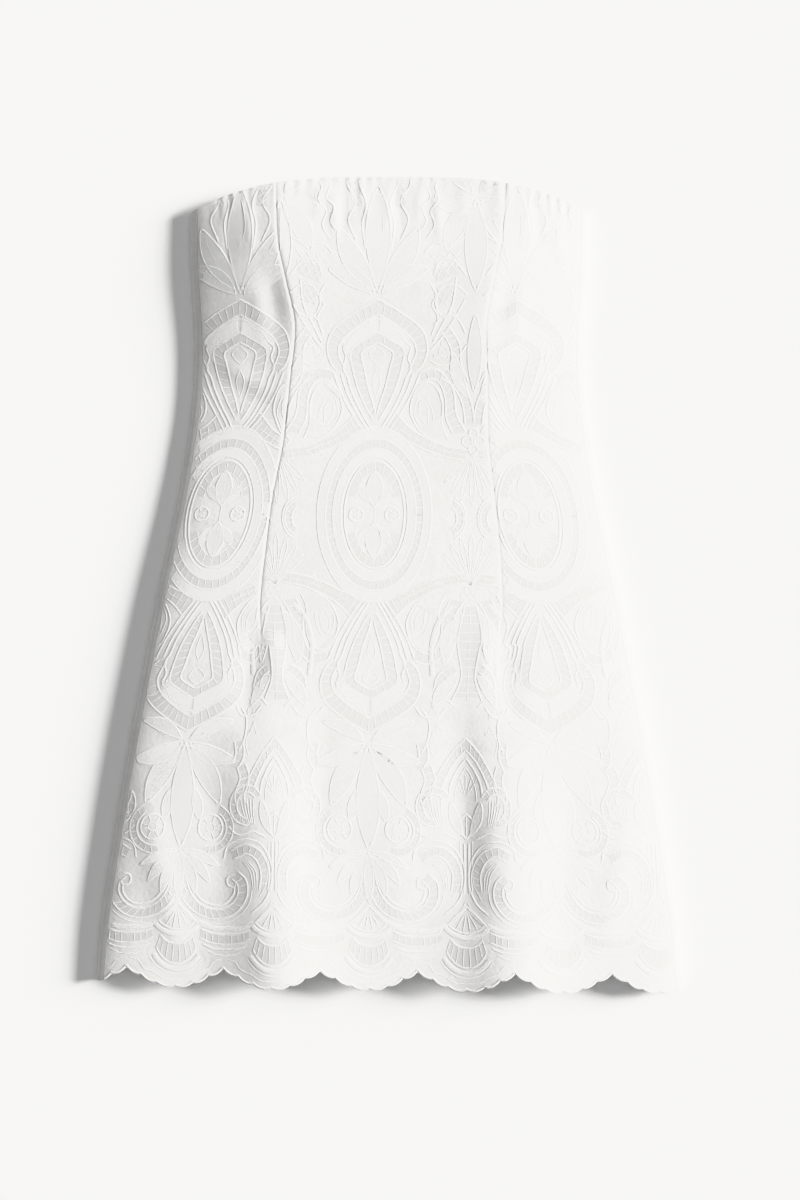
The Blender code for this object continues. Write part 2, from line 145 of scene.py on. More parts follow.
@dataclass
class DressForm:
    """The form in which the dress lies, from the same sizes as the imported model.

    A place is x, the distance from the middle, and drop, the distance below the top of the neckline.
    """

    sections: Table = field(default_factory=lambda: Table(
        "drop half_width fullness fold_radius roundness",
        (
            (0, 187.5, 19, 6.5, 2.3),
            (80, 187.5, 27.5, 7, 2.1),
            (150, 183.5, 24, 6.5, 2.15),
            (190, 184, 20.5, 6.5, 2.3),
            (230, 187.5, 20, 6.5, 2.4),
            (300, 198.5, 22, 7.5, 2.5),
            (380, 215.5, 24, 8.5, 2.6),
            (460, 231, 25.5, 9, 2.6),
            (540, 246, 26, 9, 2.6),
            (620, 259.5, 26, 8.5, 2.6),
            (700, 271.5, 25, 8, 2.6),
            (765, 277, 23, 7.5, 2.6),
        ),
    ))
    shaping: Table = field(default_factory=lambda: Table(
        "drop left_x right_x",
        (
            (0, -106.8, 109.5),
            (60, -104.8, 105),
            (97, -97.3, 98),
            (140, -88.8, 90.5),
            (190, -93.5, 92),
            (250, -100.2, 93),
            (300, -110, 98.5),
            (350, -116.5, 103.5),
            (400, -121.5, 105.8),
            (450, -119.5, 104.5),
            (560, -113.5, 109),
            (765, -103, 116),
        ),
    ))
    creases: tuple[Crease, ...] = (
        Crease(-52, 34, 70, 8, 5, 0.9),
        Crease(-44, 40, 60, -4, 4, -0.7),
        Crease(-66, 22, 44, -10, 4.5, 0.7),
        Crease(-22, 26, 50, 6, 4, 0.7),
        Crease(-2, 30, 64, -3, 4.5, 0.8),
        Crease(9, 34, 56, 5, 4, -0.7),
        Crease(28, 24, 48, -7, 4, 0.7),
        Crease(46, 38, 66, 4, 4.5, 0.8),
        Crease(70, 22, 44, -4, 5, 0.6),
        Crease(91, 26, 52, 5, 4, -0.6),
        Crease(128, 40, 84, -4, 6, 0.9),
        Crease(141, 48, 70, 5, 5, -0.7),
        Crease(160, 58, 80, 3, 6, 0.7),
        Crease(-132, 46, 70, 5, 6, 0.7),
        Crease(-150, 60, 60, -6, 6, -0.6),
        Crease(-109, 118, 96, 8, 9, -0.9),
        Crease(-122, 128, 84, 12, 9, 0.6),
        Crease(107, 118, 88, -8, 9, -0.6),
        Crease(120, 132, 80, -10, 9, 0.8),
        Crease(-140, 186, 60, 62, 8, 0.7),
        Crease(-136, 204, 70, 68, 9, -0.8),
        Crease(136, 190, 64, -64, 8, 0.6),
        Crease(134, 210, 70, -70, 9, -0.7),
        Crease(-132, 470, 120, -6, 12, -1.6),
        Crease(-108, 452, 80, 4, 9, 1.1),
        Crease(113, 468, 120, 6, 12, -1.4),
        Crease(90, 450, 84, -3, 9, 1),
        Crease(-70, 600, 240, -3, 17, -1.4),
        Crease(69, 600, 260, 4, 19, -2.5),
        Crease(-160, 620, 220, 8, 18, -1.3),
        Crease(166, 640, 220, -8, 18, -1.2),
        Crease(-212, 655, 200, 12, 15, 1.6),
        Crease(214, 660, 190, -12, 15, 1.4),
        Crease(8, 660, 190, 2, 24, 1.1),
    )
    dart_tip_drop: float = 440.0
    dart_depths: tuple[float, float] = (0.4, 0.2)
    dart_half_width: float = 1.5
    dart_fade: float = 40.0
    ridge_height: float = 4.0
    ridge_spread: float = 40.0
    ridge_rounding: float = 0.14
    ridge_end: float = 330.0
    ridge_fade: float = 160.0
    ridge_side_fade: float = 40.0
    flute_start: float = 380.0
    flute_height: float = 9.0
    flute_spread: float = 31.0
    neck_arch: float = 33.0
    neck_power: float = 3.2
    pucker_pitch: float = 10.7
    pucker_height: float = 0.36
    pucker_length: float = 27.0
    pucker_side_fade: float = 12.0
    scallop_pitch: float = 91.3
    scallop_middle: float = -19.3
    scallop_depth: float = 20.0
    hem_tilt: float = 0.0145
    hem_reach: float = 38.0
    neck_reach: float = 130.0
    lobe_bulge: float = 3.3
    lobe_edges: tuple[float, ...] = (0.0, 17.0, 31.4, 45.65)
    lobe_depths: tuple[float, ...] = (17.4, 14.4, 7.4, 0.0)

    def half_width(self, drop: Array) -> Array:
        """Half the width of the dress.

        Args:
            drop: distance below the top of the neckline.

        Returns:
            Half of the width at each drop.
        """
        return self.sections.read("half_width", drop)

    def neck_dip(self, x: Array, half_width: Array) -> Array:
        """How far the front's top edge has dropped at x.

        Args:
            x: distance from the middle of the dress.
            half_width: half of the width.

        Returns:
            The distance below the neckline's top.
        """
        return self.neck_arch * np.abs(x / half_width) ** self.neck_power

    def scallop_lift(self, x: Array) -> Array:
        """How far the hem's edge stands above the lowest line of the scallops.

        Args:
            x: distance from the middle of the dress.

        Returns:
            The height above the lowest line.
        """
        steps = (x - self.scallop_middle) / self.scallop_pitch
        across = np.abs(steps - np.round(steps)) * self.scallop_pitch
        depth = np.interp(across, self.lobe_edges, self.lobe_depths)
        edges = np.array(self.lobe_edges)
        lobe = np.clip(np.searchsorted(edges, across) - 1, 0, len(edges) - 2)
        part = np.clip((across - edges[lobe]) / (edges[lobe + 1] - edges[lobe]), 0.0, 1.0)
        return self.scallop_depth - depth - self.lobe_bulge * np.sin(math.pi * part) ** 0.7

    def shaped_drop(self, x: Array, row_drop: Array, dip: Array) -> Array:
        """Drop of a point of a row, once the neckline and the hem are shaped.

        Args:
            x: distance from the middle of the dress.
            row_drop: drop of the row before it is shaped.
            dip: how far the row is lowered at the neckline.

        Returns:
            The drop of each point.
        """
        near_neck = np.clip(1.0 - row_drop / self.neck_reach, 0.0, 1.0) ** 2
        near_hem = np.clip(1.0 - (HEM_DROP - row_drop) / self.hem_reach, 0.0, 1.0)
        tilt = self.hem_tilt * x * row_drop / HEM_DROP
        return row_drop + dip * near_neck + tilt - self.scallop_lift(x) * near_hem

    def hem_edge(self, x: Array) -> Array:
        """Drop of the hem's edge.

        Args:
            x: distance from the middle of the dress.

        Returns:
            The hem's edge.
        """
        return HEM_DROP + self.hem_tilt * x - self.scallop_lift(x)

    def plain_height(self, x: Array, drop: Array) -> Array:
        """Height of the top of the tube without darts, flutes and puckers.

        Args:
            x: distance from the middle of the dress.
            drop: distance below the top of the neckline.

        Returns:
            The height over the floor.
        """
        radius = self.sections.read("fold_radius", drop)
        roundness = self.sections.read("roundness", drop)
        rise = self.sections.read("fullness", drop) - radius
        part = np.clip(np.abs(x) / self.half_width(drop), 0.0, 1.0)
        return radius + rise * (1.0 - part**roundness) ** (1.0 / roundness)

    def crease_height(self, x: Array, drop: Array) -> Array:
        """Sum of the listed creases.

        Args:
            x: distance from the middle of the dress.
            drop: distance below the top of the neckline.

        Returns:
            The height that the creases add.
        """
        total = np.zeros(np.broadcast(x, drop).shape)
        for crease in self.creases:
            turn = math.radians(crease.turn)
            along = (drop - crease.drop) * math.cos(turn) + (x - crease.x) * math.sin(turn)
            across = (x - crease.x) * math.cos(turn) - (drop - crease.drop) * math.sin(turn)
            bow = 0.0018 * crease.width * np.sin(along / crease.length * 2.2 + crease.x)
            reach = np.clip(1.0 - (2.0 * along / crease.length) ** 2, 0.0, 1.0)
            total += crease.height * reach**1.5 * np.exp(-(((across + 40.0 * bow) / crease.width) ** 2))
        return total

    def front_height(self, x: Array, drop: Array) -> Array:
        """Height of the front's outer face.

        Args:
            x: distance from the middle of the dress.
            drop: distance below the top of the neckline.

        Returns:
            The height over the floor.
        """
        x = np.asarray(x, float)
        drop = np.asarray(drop, float)
        half = self.half_width(drop)
        height = self.plain_height(x, drop)
        sewn = ease((self.dart_tip_drop - drop) / self.dart_fade)
        flute = self.flute_height * ease((drop - self.flute_start) / (HEM_DROP - self.flute_start))
        inward = half - SEAM_INSET - np.abs(x)
        ridge = self.ridge_height * ease((self.ridge_end - drop) / self.ridge_fade)
        ridge = ridge * ease(inward / self.ridge_side_fade)
        for name, depth in zip(("left_x", "right_x"), self.dart_depths):
            away = x - self.shaping.read(name, drop)
            height = height - depth * sewn * np.clip(1.0 - np.abs(away) / self.dart_half_width, 0.0, 1.0)
            height = height + ridge * np.exp(-np.hypot(away / self.ridge_spread, self.ridge_rounding))
            height = height + flute * np.exp(-0.5 * (away / self.flute_spread) ** 2)
        below = drop - self.neck_dip(x, half)
        length = self.pucker_length * (1.0 - 0.2 * np.sin(x / 17.0))
        side = ease(inward / self.pucker_side_fade)
        phase = 2.0 * math.pi * (x / self.pucker_pitch + 0.3 * np.sin(x / 23.0))
        uneven = 0.8 - 0.35 * np.sin(x / 31.0) - 0.45 * np.sin(x / 9.7 + 1.0)
        pucker = self.pucker_height * uneven * np.clip(1.0 - below / length, 0.0, 1.0)
        return height + side * (pucker * np.sin(phase) + self.crease_height(x, drop))


class Side(Enum):
    """Which face of the dress a piece lies on."""

    FRONT = "front"
    BACK = "back"


@dataclass
class Ground:
    """The outer face of the front or the back, on which embroidery is laid."""

    form: DressForm
    side: Side
    back_lift: float = 0.75
    slope_step: float = 0.4
    margin: float = 0.8
    neck_margin: float = 1.2
    fold_margin: float = 0.5
    back_neck_margin: float = 2.0
    zip_clear: float = 9.0
    zip_end: float = 440.0
    pull_clear: float = 31.0
    pull_end: float = 110.0

    def height(self, x: Array, drop: Array) -> Array:
        """Height of the face over the floor.

        Args:
            x: distance from the middle of the dress.
            drop: distance below the top of the neckline.

        Returns:
            The height over the floor.
        """
        if self.side is Side.FRONT:
            return self.form.front_height(x, drop)
        return np.full(np.broadcast(x, drop).shape, self.back_lift)

    def point(self, x: Array, drop: Array, raise_by: Array | float = 0.0) -> Points:
        """Points on the face, or moved out of it along its direction.

        Args:
            x: distance from the middle of the dress.
            drop: distance below the top of the neckline.
            raise_by: how far the points stand out of the face.

        Returns:
            One point for each place.
        """
        spots = np.stack([x, NECK_Y - drop, self.height(x, drop)], axis=-1)
        return spots + self.direction(x, drop) * np.asarray(raise_by)[..., None]

    def direction(self, x: Array, drop: Array) -> Points:
        """Outward direction of the face.

        Args:
            x: distance from the middle of the dress.
            drop: distance below the top of the neckline.

        Returns:
            One unit vector for each place.
        """
        if self.side is Side.BACK:
            down = np.zeros(np.broadcast(x, drop).shape + (3,))
            down[..., 2] = -1.0
            return down
        step = self.slope_step
        slope_x = (self.height(x + step, drop) - self.height(x - step, drop)) / (2 * step)
        slope_y = (self.height(x, drop - step) - self.height(x, drop + step)) / (2 * step)
        out = np.stack([-slope_x, -slope_y, np.ones_like(slope_x)], axis=-1)
        return out / np.linalg.norm(out, axis=-1, keepdims=True)

    def inside(self, x: Array, drop: Array) -> Array:
        """Whether a place is on the face, clear of its edges.

        Args:
            x: distance from the middle of the dress.
            drop: distance below the top of the neckline.

        Returns:
            True where it is.
        """
        half = self.form.half_width(drop)
        within = drop < self.form.hem_edge(x) - self.margin
        if self.side is Side.FRONT:
            top = self.form.neck_dip(x, half) + self.neck_margin
            return within & (drop > top) & (np.abs(x) < half - SEAM_INSET - self.margin)
        flat = half - self.form.sections.read("fold_radius", drop) - self.fold_margin
        clear_of_zip = (np.abs(x) > self.zip_clear) | (drop > self.zip_end)
        clear_of_pull = (np.abs(x) > self.pull_clear) | (drop > self.pull_end)
        below_neck = drop > self.form.neck_arch + self.back_neck_margin
        return within & below_neck & (np.abs(x) < flat) & clear_of_zip & clear_of_pull


@dataclass
class Pattern:
    """How the cloth's pattern lies on the dress: where its middle runs and what the darts swallow."""

    form: DressForm
    middle: Table = field(default_factory=lambda: Table(
        "q column",
        ((160, 378.5), (285, 378), (440, 375.5), (525, 374), (600, 373), (702, 369.5),
         (743, 367.8), (850, 368.6), (1000, 369)),
    ))
    taken: Table = field(default_factory=lambda: Table(
        "q width",
        ((160, 57), (314, 57), (418, 58), (450, 49.5), (505, 42), (556, 34),
         (588, 30), (640, 25), (689, 20), (722, 15), (831, 8), (906, 4), (1000, 1)),
    ))
    dart_end: float = 645.0
    spread: float = 46.0

    def place(self, p: Array, q: Array, side: Side) -> tuple[Array, Array, Array]:
        """Turns cloth coordinates into places on the dress.

        Args:
            p: distance across from the pattern's middle, in photo pixels.
            q: photo row.
            side: the face that the pattern lies on.

        Returns:
            x, drop, and whether the place shows and isn't folded away in a dart.
        """
        drop = (q - PHOTO_NECK) * PIXEL
        if side is Side.BACK:
            x = (p + 97.5 / 2) * PIXEL
            shows = np.ones(np.shape(x), bool)
            return x, drop + self.form.hem_tilt * x * drop / HEM_DROP, shows
        column = self.middle.read("column", q) + p
        width = self.taken.read("width", q)
        shows = np.ones(np.shape(column), bool)
        shifted = column.copy()
        for name, sign in (("left_x", -1.0), ("right_x", 1.0)):
            line = PHOTO_MIDDLE + self.form.shaping.read(name, drop) / PIXEL
            past = sign * (column - line)
            sewn = q < self.dart_end
            hidden = sewn & (past > -1.2) & (past < width + 1.2)
            shows &= ~hidden
            soft = ease((past - width / 2 + self.spread) / (2 * self.spread))
            share = np.where(sewn, (past > width / 2).astype(float), soft)
            shifted = shifted - sign * width * share
        x = (shifted - PHOTO_MIDDLE) * PIXEL
        return x, drop + self.form.hem_tilt * x * drop / HEM_DROP, shows


class Stitch(Enum):
    """How the embroidery is worked: half width and height in millimetres, and the step of its points."""

    CORD = (1.2, 0.24, 2.8)
    FINE = (0.62, 0.17, 2.6)
    TAPE = (2.5, 0.24, 3.0)
    BAR = (0.65, 0.21, 4.0)
    EDGE = (1.1, 0.4, 2.4)

    def __init__(self, half_width: float, height: float, step: float) -> None:
        """Keeps the sizes of a way of working.

        Args:
            half_width: half of the width.
            height: how high it stands.
            step: distance between its points.
        """
        self.half_width = half_width
        self.height = height
        self.step = step


class Stroke(NamedTuple):
    """One worked line: its points, in cloth coordinates, and how it is worked."""

    points: Points
    stitch: Stitch


class Fill(Enum):
    """What lies between two rails, with its height: a netted ground coloured darker than the cloth as painted
    shade of the recessed cells, or smooth satin stitch.
    """

    NET = 0.06
    SATIN = 0.13


class Web(NamedTuple):
    """What is worked between two rails that run the same way."""

    first: Points
    second: Points
    fill: Fill


def curve(*marks: tuple[float, float], per: int = 8) -> Points:
    """A smooth line through marks.

    Args:
        marks: the points that it runs through.
        per: steps between two marks.

    Returns:
        The points of the line.
    """
    knots = np.array(marks, float)
    if len(knots) == 2:
        return knots
    before = np.vstack([2 * knots[0] - knots[1], knots[:-1]])
    after = np.vstack([knots[1:], 2 * knots[-1] - knots[-2]])
    slopes = (after - before) / 2
    part = np.linspace(0.0, 1.0, per, endpoint=False)[:, None]
    square = part * part
    cube = square * part
    pieces = [
        (2 * cube - 3 * square + 1) * knots[i]
        + (cube - 2 * square + part) * slopes[i]
        + (3 * square - 2 * cube) * knots[i + 1]
        + (cube - square) * slopes[i + 1]
        for i in range(len(knots) - 1)
    ]
    return np.vstack(pieces + [knots[-1:]])


def arc(x: float, y: float, wide: float, high: float, start: float = 0.0, end: float = 360.0) -> Points:
    """Part of an ellipse; angles are in degrees, from +x round to +y, which points down the cloth.

    Args:
        x: place of the middle across the cloth.
        y: photo row of the middle.
        wide: half of its width.
        high: half of its height.
        start: angle at which it starts.
        end: angle at which it ends.

    Returns:
        The points of the arc.
    """
    count = max(6, int(abs(end - start) / 360.0 * math.pi * (wide + high) / 2.2))
    turns = np.radians(np.linspace(start, end, count + 1))
    return np.stack([x + wide * np.cos(turns), y + high * np.sin(turns)], axis=-1)


def evenly(points: Points, count: int) -> Points:
    """The same line with count points, evenly spaced along it.

    Args:
        points: the line's points.
        count: number of points.

    Returns:
        The points of the line.
    """
    steps = np.linalg.norm(np.diff(points, axis=0), axis=1)
    run = np.concatenate([[0.0], np.cumsum(steps)])
    marks = np.linspace(0.0, run[-1], count)
    return np.stack([np.interp(marks, run, points[:, axis]) for axis in range(points.shape[1])], axis=-1)


def length_of(points: Points) -> float:
    """Length of a line.

    Args:
        points: the line's points.

    Returns:
        The length, in the line's own unit.
    """
    return float(np.linalg.norm(np.diff(points, axis=0), axis=1).sum())


def beside(points: Points, away: Array | float) -> Points:
    """The line moved sideways, to its left for a positive distance.

    Args:
        points: the line's points.
        away: the distance.

    Returns:
        The points of the moved line.
    """
    ahead = np.gradient(points, axis=0)
    ahead /= np.maximum(np.linalg.norm(ahead, axis=1, keepdims=True), 1e-9)
    side = np.stack([ahead[:, 1], -ahead[:, 0]], axis=-1)
    return points + side * np.broadcast_to(np.asarray(away, float), (len(points),))[:, None]


class Motif:
    """A group of worked lines about an upright axis at 0."""

    def __init__(self) -> None:
        """Starts with nothing worked."""
        self.strokes: list[Stroke] = []
        self.webs: list[Web] = []

    def line(self, points: Points, stitch: Stitch = Stitch.CORD) -> None:
        """Adds one line.

        Args:
            points: the line's points.
            stitch: how it is worked.
        """
        self.strokes.append(Stroke(np.asarray(points, float), stitch))

    def cord(self, *marks: tuple[float, float]) -> None:
        """Adds a smooth corded line.

        Args:
            marks: the points that it runs through.
        """
        self.line(curve(*marks))

    def fine(self, *marks: tuple[float, float]) -> None:
        """Adds a smooth fine line.

        Args:
            marks: the points that it runs through.
        """
        self.line(curve(*marks), Stitch.FINE)

    def ladder(self, first: Points, second: Points, pitch: float = 7.2, ends: bool = False,
               rails: Stitch = Stitch.CORD) -> None:
        """Adds two rails with bars between them, over a netted sheet coloured darker than the cloth as
        painted shade of the recessed cells.

        Args:
            first: one rail.
            second: the other rail, running the same way.
            pitch: distance between bars.
            ends: whether bars close the ends.
            rails: how the rails are worked.
        """
        self.line(first, rails)
        self.line(second, rails)
        # The netted sheet between the rails is darker than the cloth: painted shade of the recessed cells.
        self.webs.append(Web(first, second, Fill.NET))
        count = max(2, int(round((length_of(first) + length_of(second)) / 2 / pitch)) + 1)
        near = evenly(first, count)
        far = evenly(second, count)
        chosen = range(count) if ends else range(1, count - 1)
        for index in chosen:
            self.line(np.array([near[index], far[index]]), Stitch.BAR)

    def band(self, points: Points, half: float, pitch: float = 7.2, ends: bool = False,
             rails: Stitch = Stitch.CORD) -> None:
        """Adds a ladder band of even width along a line.

        Args:
            points: the middle line of the band.
            half: half of its width.
            pitch: distance between bars.
            ends: whether bars close the ends.
            rails: how the rails are worked.
        """
        self.ladder(beside(points, half), beside(points, -half), pitch, ends, rails)

    def leaf(self, root: tuple[float, float], tip: tuple[float, float], half: float, bow: float = 0.0,
             vein: bool = True, stitch: Stitch = Stitch.CORD, fullest: float = 0.5) -> None:
        """Adds a pointed leaf.

        Args:
            root: where it starts.
            tip: where it ends.
            half: half of its greatest width.
            bow: how far its middle bends to the left.
            vein: whether it has a middle line.
            stitch: how its outline is worked.
            fullest: where along it the leaf is widest.
        """
        part = np.linspace(0.0, 1.0, 15)
        start = np.array(root, float)
        reach = np.array(tip, float) - start
        side = np.array([reach[1], -reach[0]]) / np.linalg.norm(reach)
        middle = start + part[:, None] * reach + (bow * np.sin(math.pi * part))[:, None] * side
        warped = part ** (math.log(0.5) / math.log(fullest))
        swell = half * np.sin(math.pi * warped) ** 0.85
        edges = (beside(middle, swell), beside(middle, -swell))
        self.line(np.vstack([edges[0], edges[1][::-1]]), stitch)
        if half > 4.0:
            self.webs.append(Web(edges[0][1:-1], edges[1][1:-1], Fill.SATIN))
        if vein:
            self.line(middle[1:-2], Stitch.FINE)

    def satin(self, first: Points, second: Points) -> None:
        """Adds smooth satin stitch between two rails.

        Args:
            first: one rail.
            second: the other rail, running the same way.
        """
        self.webs.append(Web(first, second, Fill.SATIN))

    def net_and_painted_shade(self, corners: Sequence[tuple[float, float]], across: int, along: int) -> None:
        """Adds a lattice of crossing bars within four corners, over a netted sheet coloured darker than the
        cloth as painted shade.

        Args:
            corners: the corners, in order round the net.
            across: number of cells one way.
            along: number of cells the other way.
        """
        a, b, c, d = (np.array(corner, float) for corner in corners)
        # The netted sheet under the lattice is darker than the cloth: painted shade of the recessed cells.
        self.webs.append(Web(np.array([a, (a + d) / 2, d]), np.array([b, (b + c) / 2, c]), Fill.NET))

        def at(u: float, v: float) -> Points:
            """A place within the corners.

            Args:
                u: share of the way across.
                v: share of the way along.

            Returns:
                The place.
            """
            return (1 - u) * (1 - v) * a + u * (1 - v) * b + u * v * c + (1 - u) * v * d

        for row in range(along):
            for column in range(across):
                low = (column / across, row / along)
                high = ((column + 1) / across, (row + 1) / along)
                self.line(np.array([at(*low), at(*high)]), Stitch.BAR)
                self.line(np.array([at(high[0], low[1]), at(low[0], high[1])]), Stitch.BAR)

    def fan(self, x: float, y: float, near: float, far: float, start: float, end: float, rays: int,
            stitch: Stitch = Stitch.BAR) -> None:
        """Adds rays about a point, between two distances and two angles.

        Args:
            x: place of the point across the cloth.
            y: photo row of the point.
            near: distance at which the rays start.
            far: distance at which they end.
            start: angle of the first ray, in degrees.
            end: angle of the last ray, in degrees.
            rays: number of rays.
            stitch: how it is worked.
        """
        for turn in np.radians(np.linspace(start, end, rays)):
            way = np.array([math.cos(turn), math.sin(turn)])
            self.line(np.array([[x, y] + near * way, [x, y] + far * way]), stitch)

    def both(self, build: Callable[["Motif"], None]) -> None:
        """Adds what build works, and its mirror image across the axis.

        Args:
            build: works one side.
        """
        half = Motif()
        build(half)
        self.place(half, 0.0)
        self.place(half, 0.0, -1.0)

    def place(self, other: "Motif", p: float, way: float = 1.0) -> None:
        """Adds another motif.

        Args:
            other: the motif that is added.
            p: how far it is moved across the cloth.
            way: -1 for its mirror image.
        """
        turn = (way, 1.0)
        shift = (p, 0.0)
        for stroke in other.strokes:
            self.strokes.append(Stroke(stroke.points * turn + shift, stroke.stitch))
        for web in other.webs:
            self.webs.append(Web(web.first * turn + shift, web.second * turn + shift, web.fill))


class MedallionColumn(Motif):
    """The column of palmettes, kite medallions and the oval medallion."""

    def __init__(self) -> None:
        """Works the column from the neckline down to the border."""
        super().__init__()
        self.upper_palmette()
        self.kite_medallion(296, 1)
        self.kite_medallion(737, -1)
        self.oval_medallion()
        self.lower_palmette()
        self.lower_spray()
        self.both(self.scroll)

    def upper_palmette(self) -> None:
        """Leaves that fan up from the top of the upper medallion to the neckline."""
        root = (0, 294)
        self.leaf(root, (0, 186), 12.5, fullest=0.55)
        self.fine((0, 250), (-5, 226), (0, 200), (5, 226), (0, 250))

        def half(m: Motif) -> None:
            """Works one side.

            Args:
                m: the motif that takes the lines.
            """
            m.leaf((2, 291), (40, 228), 10.5, bow=-4)
            m.leaf((4, 295), (50, 270), 9, bow=5)
            m.cord((13, 250), (16, 224), (12, 204), (20, 182), (17, 168))
            m.cord((22, 242), (30, 220), (22, 202), (32, 184), (28, 168))
            m.net_and_painted_shade(((16, 206), (26, 208), (28, 184), (20, 180)), 1, 3)
            m.cord((42, 232), (48, 222), (44, 208), (52, 198), (48, 184), (56, 172))
            m.cord((48, 240), (56, 226), (52, 212), (60, 200), (57, 186), (66, 174))
            m.net_and_painted_shade(((52, 256), (82, 250), (80, 274), (58, 284)), 3, 2)
            m.net_and_painted_shade(((58, 288), (76, 280), (74, 302), (62, 306)), 2, 2)
            m.cord((46, 254), (56, 244), (72, 246), (86, 238))
            m.cord((52, 284), (58, 296), (54, 306), (60, 318), (54, 336))
            m.cord((78, 278), (74, 306), (64, 326), (55, 344))
            m.cord((87, 300), (76, 320), (64, 338), (54, 350))

        self.both(half)

    def kite_medallion(self, top: float, way: float) -> None:
        """A ladder arch round a kite, with teardrop leaves at its foot.

        Args:
            top: photo row of the arch's point.
            way: 1 for point up, -1 for the mirror image below the oval.
        """
        def at(*marks: tuple[float, float]) -> Points:
            """A smooth line whose rows are counted from the motif's top.

            Args:
                marks: the points that it runs through.

            Returns:
                The place.
            """
            return curve(*((x, top + way * y) for x, y in marks))

        def half(m: Motif) -> None:
            """Works one side.

            Args:
                m: the motif that takes the lines.
            """
            arch_out = at((0, 4), (24, 18), (44, 34), (50, 52), (46, 68), (39, 76))
            arch_in = at((0, 19), (20, 31), (34, 43), (39, 55), (36, 66), (32, 73))
            m.ladder(arch_out, arch_in)
            m.line(at((0, 24), (8, 26), (14, 34), (22, 36), (28, 46), (34, 52),
                      (31, 62), (34, 72), (28, 84)))
            kite_out = at((0, 37), (12, 44), (26, 54), (25, 70), (19, 92), (10, 112),
                          (3, 124))
            kite_in = at((0, 47), (9, 52), (16, 58), (13, 72), (9, 90), (4, 106),
                         (1, 118))
            m.ladder(kite_out, kite_in, 8)
            m.satin(arch_in[1:-4], kite_out[1:-14])
            m.line(at((0, 51), (8, 59), (0, 69)), Stitch.FINE)
            m.line(at((0, 74), (4, 86), (0, 102)), Stitch.FINE)
            m.line(at((30, 80), (24, 98), (14, 118), (3, 136)))
            m.line(at((36, 78), (29, 98), (18, 119), (6, 138)))
            m.line(at((43, 78), (35, 98), (23, 120), (10, 139)))
            drop_out = at((42, 77), (56, 73), (68, 80), (77, 96), (80, 118), (90, 136))
            drop_in = at((46, 86), (57, 83), (65, 91), (69, 104), (70, 122), (77, 138))
            m.ladder(drop_out, drop_in)
            bud_out = at((40, 92), (50, 86), (60, 92), (66, 108), (66, 128), (72, 143))
            bud_in = at((40, 92), (36, 102), (34, 114), (38, 126), (46, 137), (60, 146))
            m.line(bud_out)
            m.line(bud_in)
            m.satin(bud_out[2:-2], bud_in[2:-2])
            m.line(at((50, 130), (43, 118), (44, 104), (51, 112), (52, 130)), Stitch.FINE)
            m.line(at((46, 134), (38, 118), (42, 100)), Stitch.FINE)
            m.line(at((56, 134), (57, 118), (50, 100)), Stitch.FINE)
            upper = at((21, 118), (34, 132), (52, 143), (72, 151), (92, 154))
            lower = at((9, 138), (30, 145), (50, 154), (70, 161), (90, 164))
            m.ladder(upper, lower, 7.5)
            m.line((upper + lower)[4:] / 2, Stitch.BAR)

        self.both(half)
        self.line(at((0, 4), (0, 18)), Stitch.FINE)

    def oval_medallion(self) -> None:
        """The large oval: tape, ladder ring, and a flowered heart."""
        middle = 515
        self.line(arc(0, middle, 57, 87.5))
        self.satin(arc(0, middle, 57, 87.5), arc(0, middle, 49.5, 77))
        self.ladder(arc(0, middle, 49, 76), arc(0, middle, 41.5, 66), 7.4, ends=True)
        self.satin(arc(0, middle, 41, 65.5), arc(0, middle, 33, 57))
        self.line(arc(0, middle, 33.5, 57.5))
        self.line(arc(0, middle, 30, 53.6))
        self.fine((0, 463), (0.5, 515), (0, 567))
        for way in (1, -1):
            self.leaf((0, middle - way * 8), (0, middle - way * 44), 8, vein=False)

        def half(m: Motif) -> None:
            """Works one side.

            Args:
                m: the motif that takes the lines.
            """
            for way in (1, -1):
                first = arc(0, middle, 30, 53.6, way * -88, way * -22)
                second = arc(0, middle, 21, 42, way * -86, way * -24)
                m.ladder(first, second, 8, rails=Stitch.FINE)
                m.leaf((4, middle - way * 12), (17, middle - way * 30), 4.5, vein=False,
                       stitch=Stitch.FINE)
            m.line(arc(18, middle, 7, 7))
            m.line(arc(18, middle, 2.6, 2.6), Stitch.FINE)
            m.fan(18, middle, 3, 6.5, 0, 300, 6)

        self.both(half)

    def lower_palmette(self) -> None:
        """Leaves that fan down from the lower medallion, with round nets beside them."""
        root = (0, 744)
        self.leaf(root, (0, 849), 11.5, fullest=0.55)

        def half(m: Motif) -> None:
            """Works one side.

            Args:
                m: the motif that takes the lines.
            """
            m.leaf((2, 747), (37, 806), 10, bow=4)
            m.leaf((4, 744), (52, 762), 8.5, bow=-4)
            m.leaf((4, 741), (46, 722), 6, bow=4)
            m.leaf((12, 790), (18, 822), 5, vein=False)
            m.line(arc(29, 829, 12, 13))
            m.line(arc(29, 829, 4.5, 4.5), Stitch.FINE)
            m.fan(29, 829, 5, 12, 15, 345, 7)
            m.ladder(arc(26, 830, 26, 26, -62, 104), arc(27, 830, 18, 18, -58, 100), 7)
            m.band(curve((58, 766), (62, 780), (57, 796), (60, 806)), 5, 7.5)
            m.fine((20, 738), (30, 732), (36, 722))

        self.both(half)

    def lower_spray(self) -> None:
        """The slender spray between the scrolls, down to the border."""
        root = (0, 852)
        self.leaf(root, (0, 902), 4.5)

        def half(m: Motif) -> None:
            """Works one side.

            Args:
                m: the motif that takes the lines.
            """
            m.leaf((1, 856), (17, 896), 4.6, bow=3)
            m.leaf((2, 854), (31, 884), 4.8, bow=3)
            m.leaf((3, 852), (40, 868), 4.2, bow=2)
            m.leaf((1, 880), (9, 902), 2.8, vein=False, stitch=Stitch.FINE)

        self.both(half)

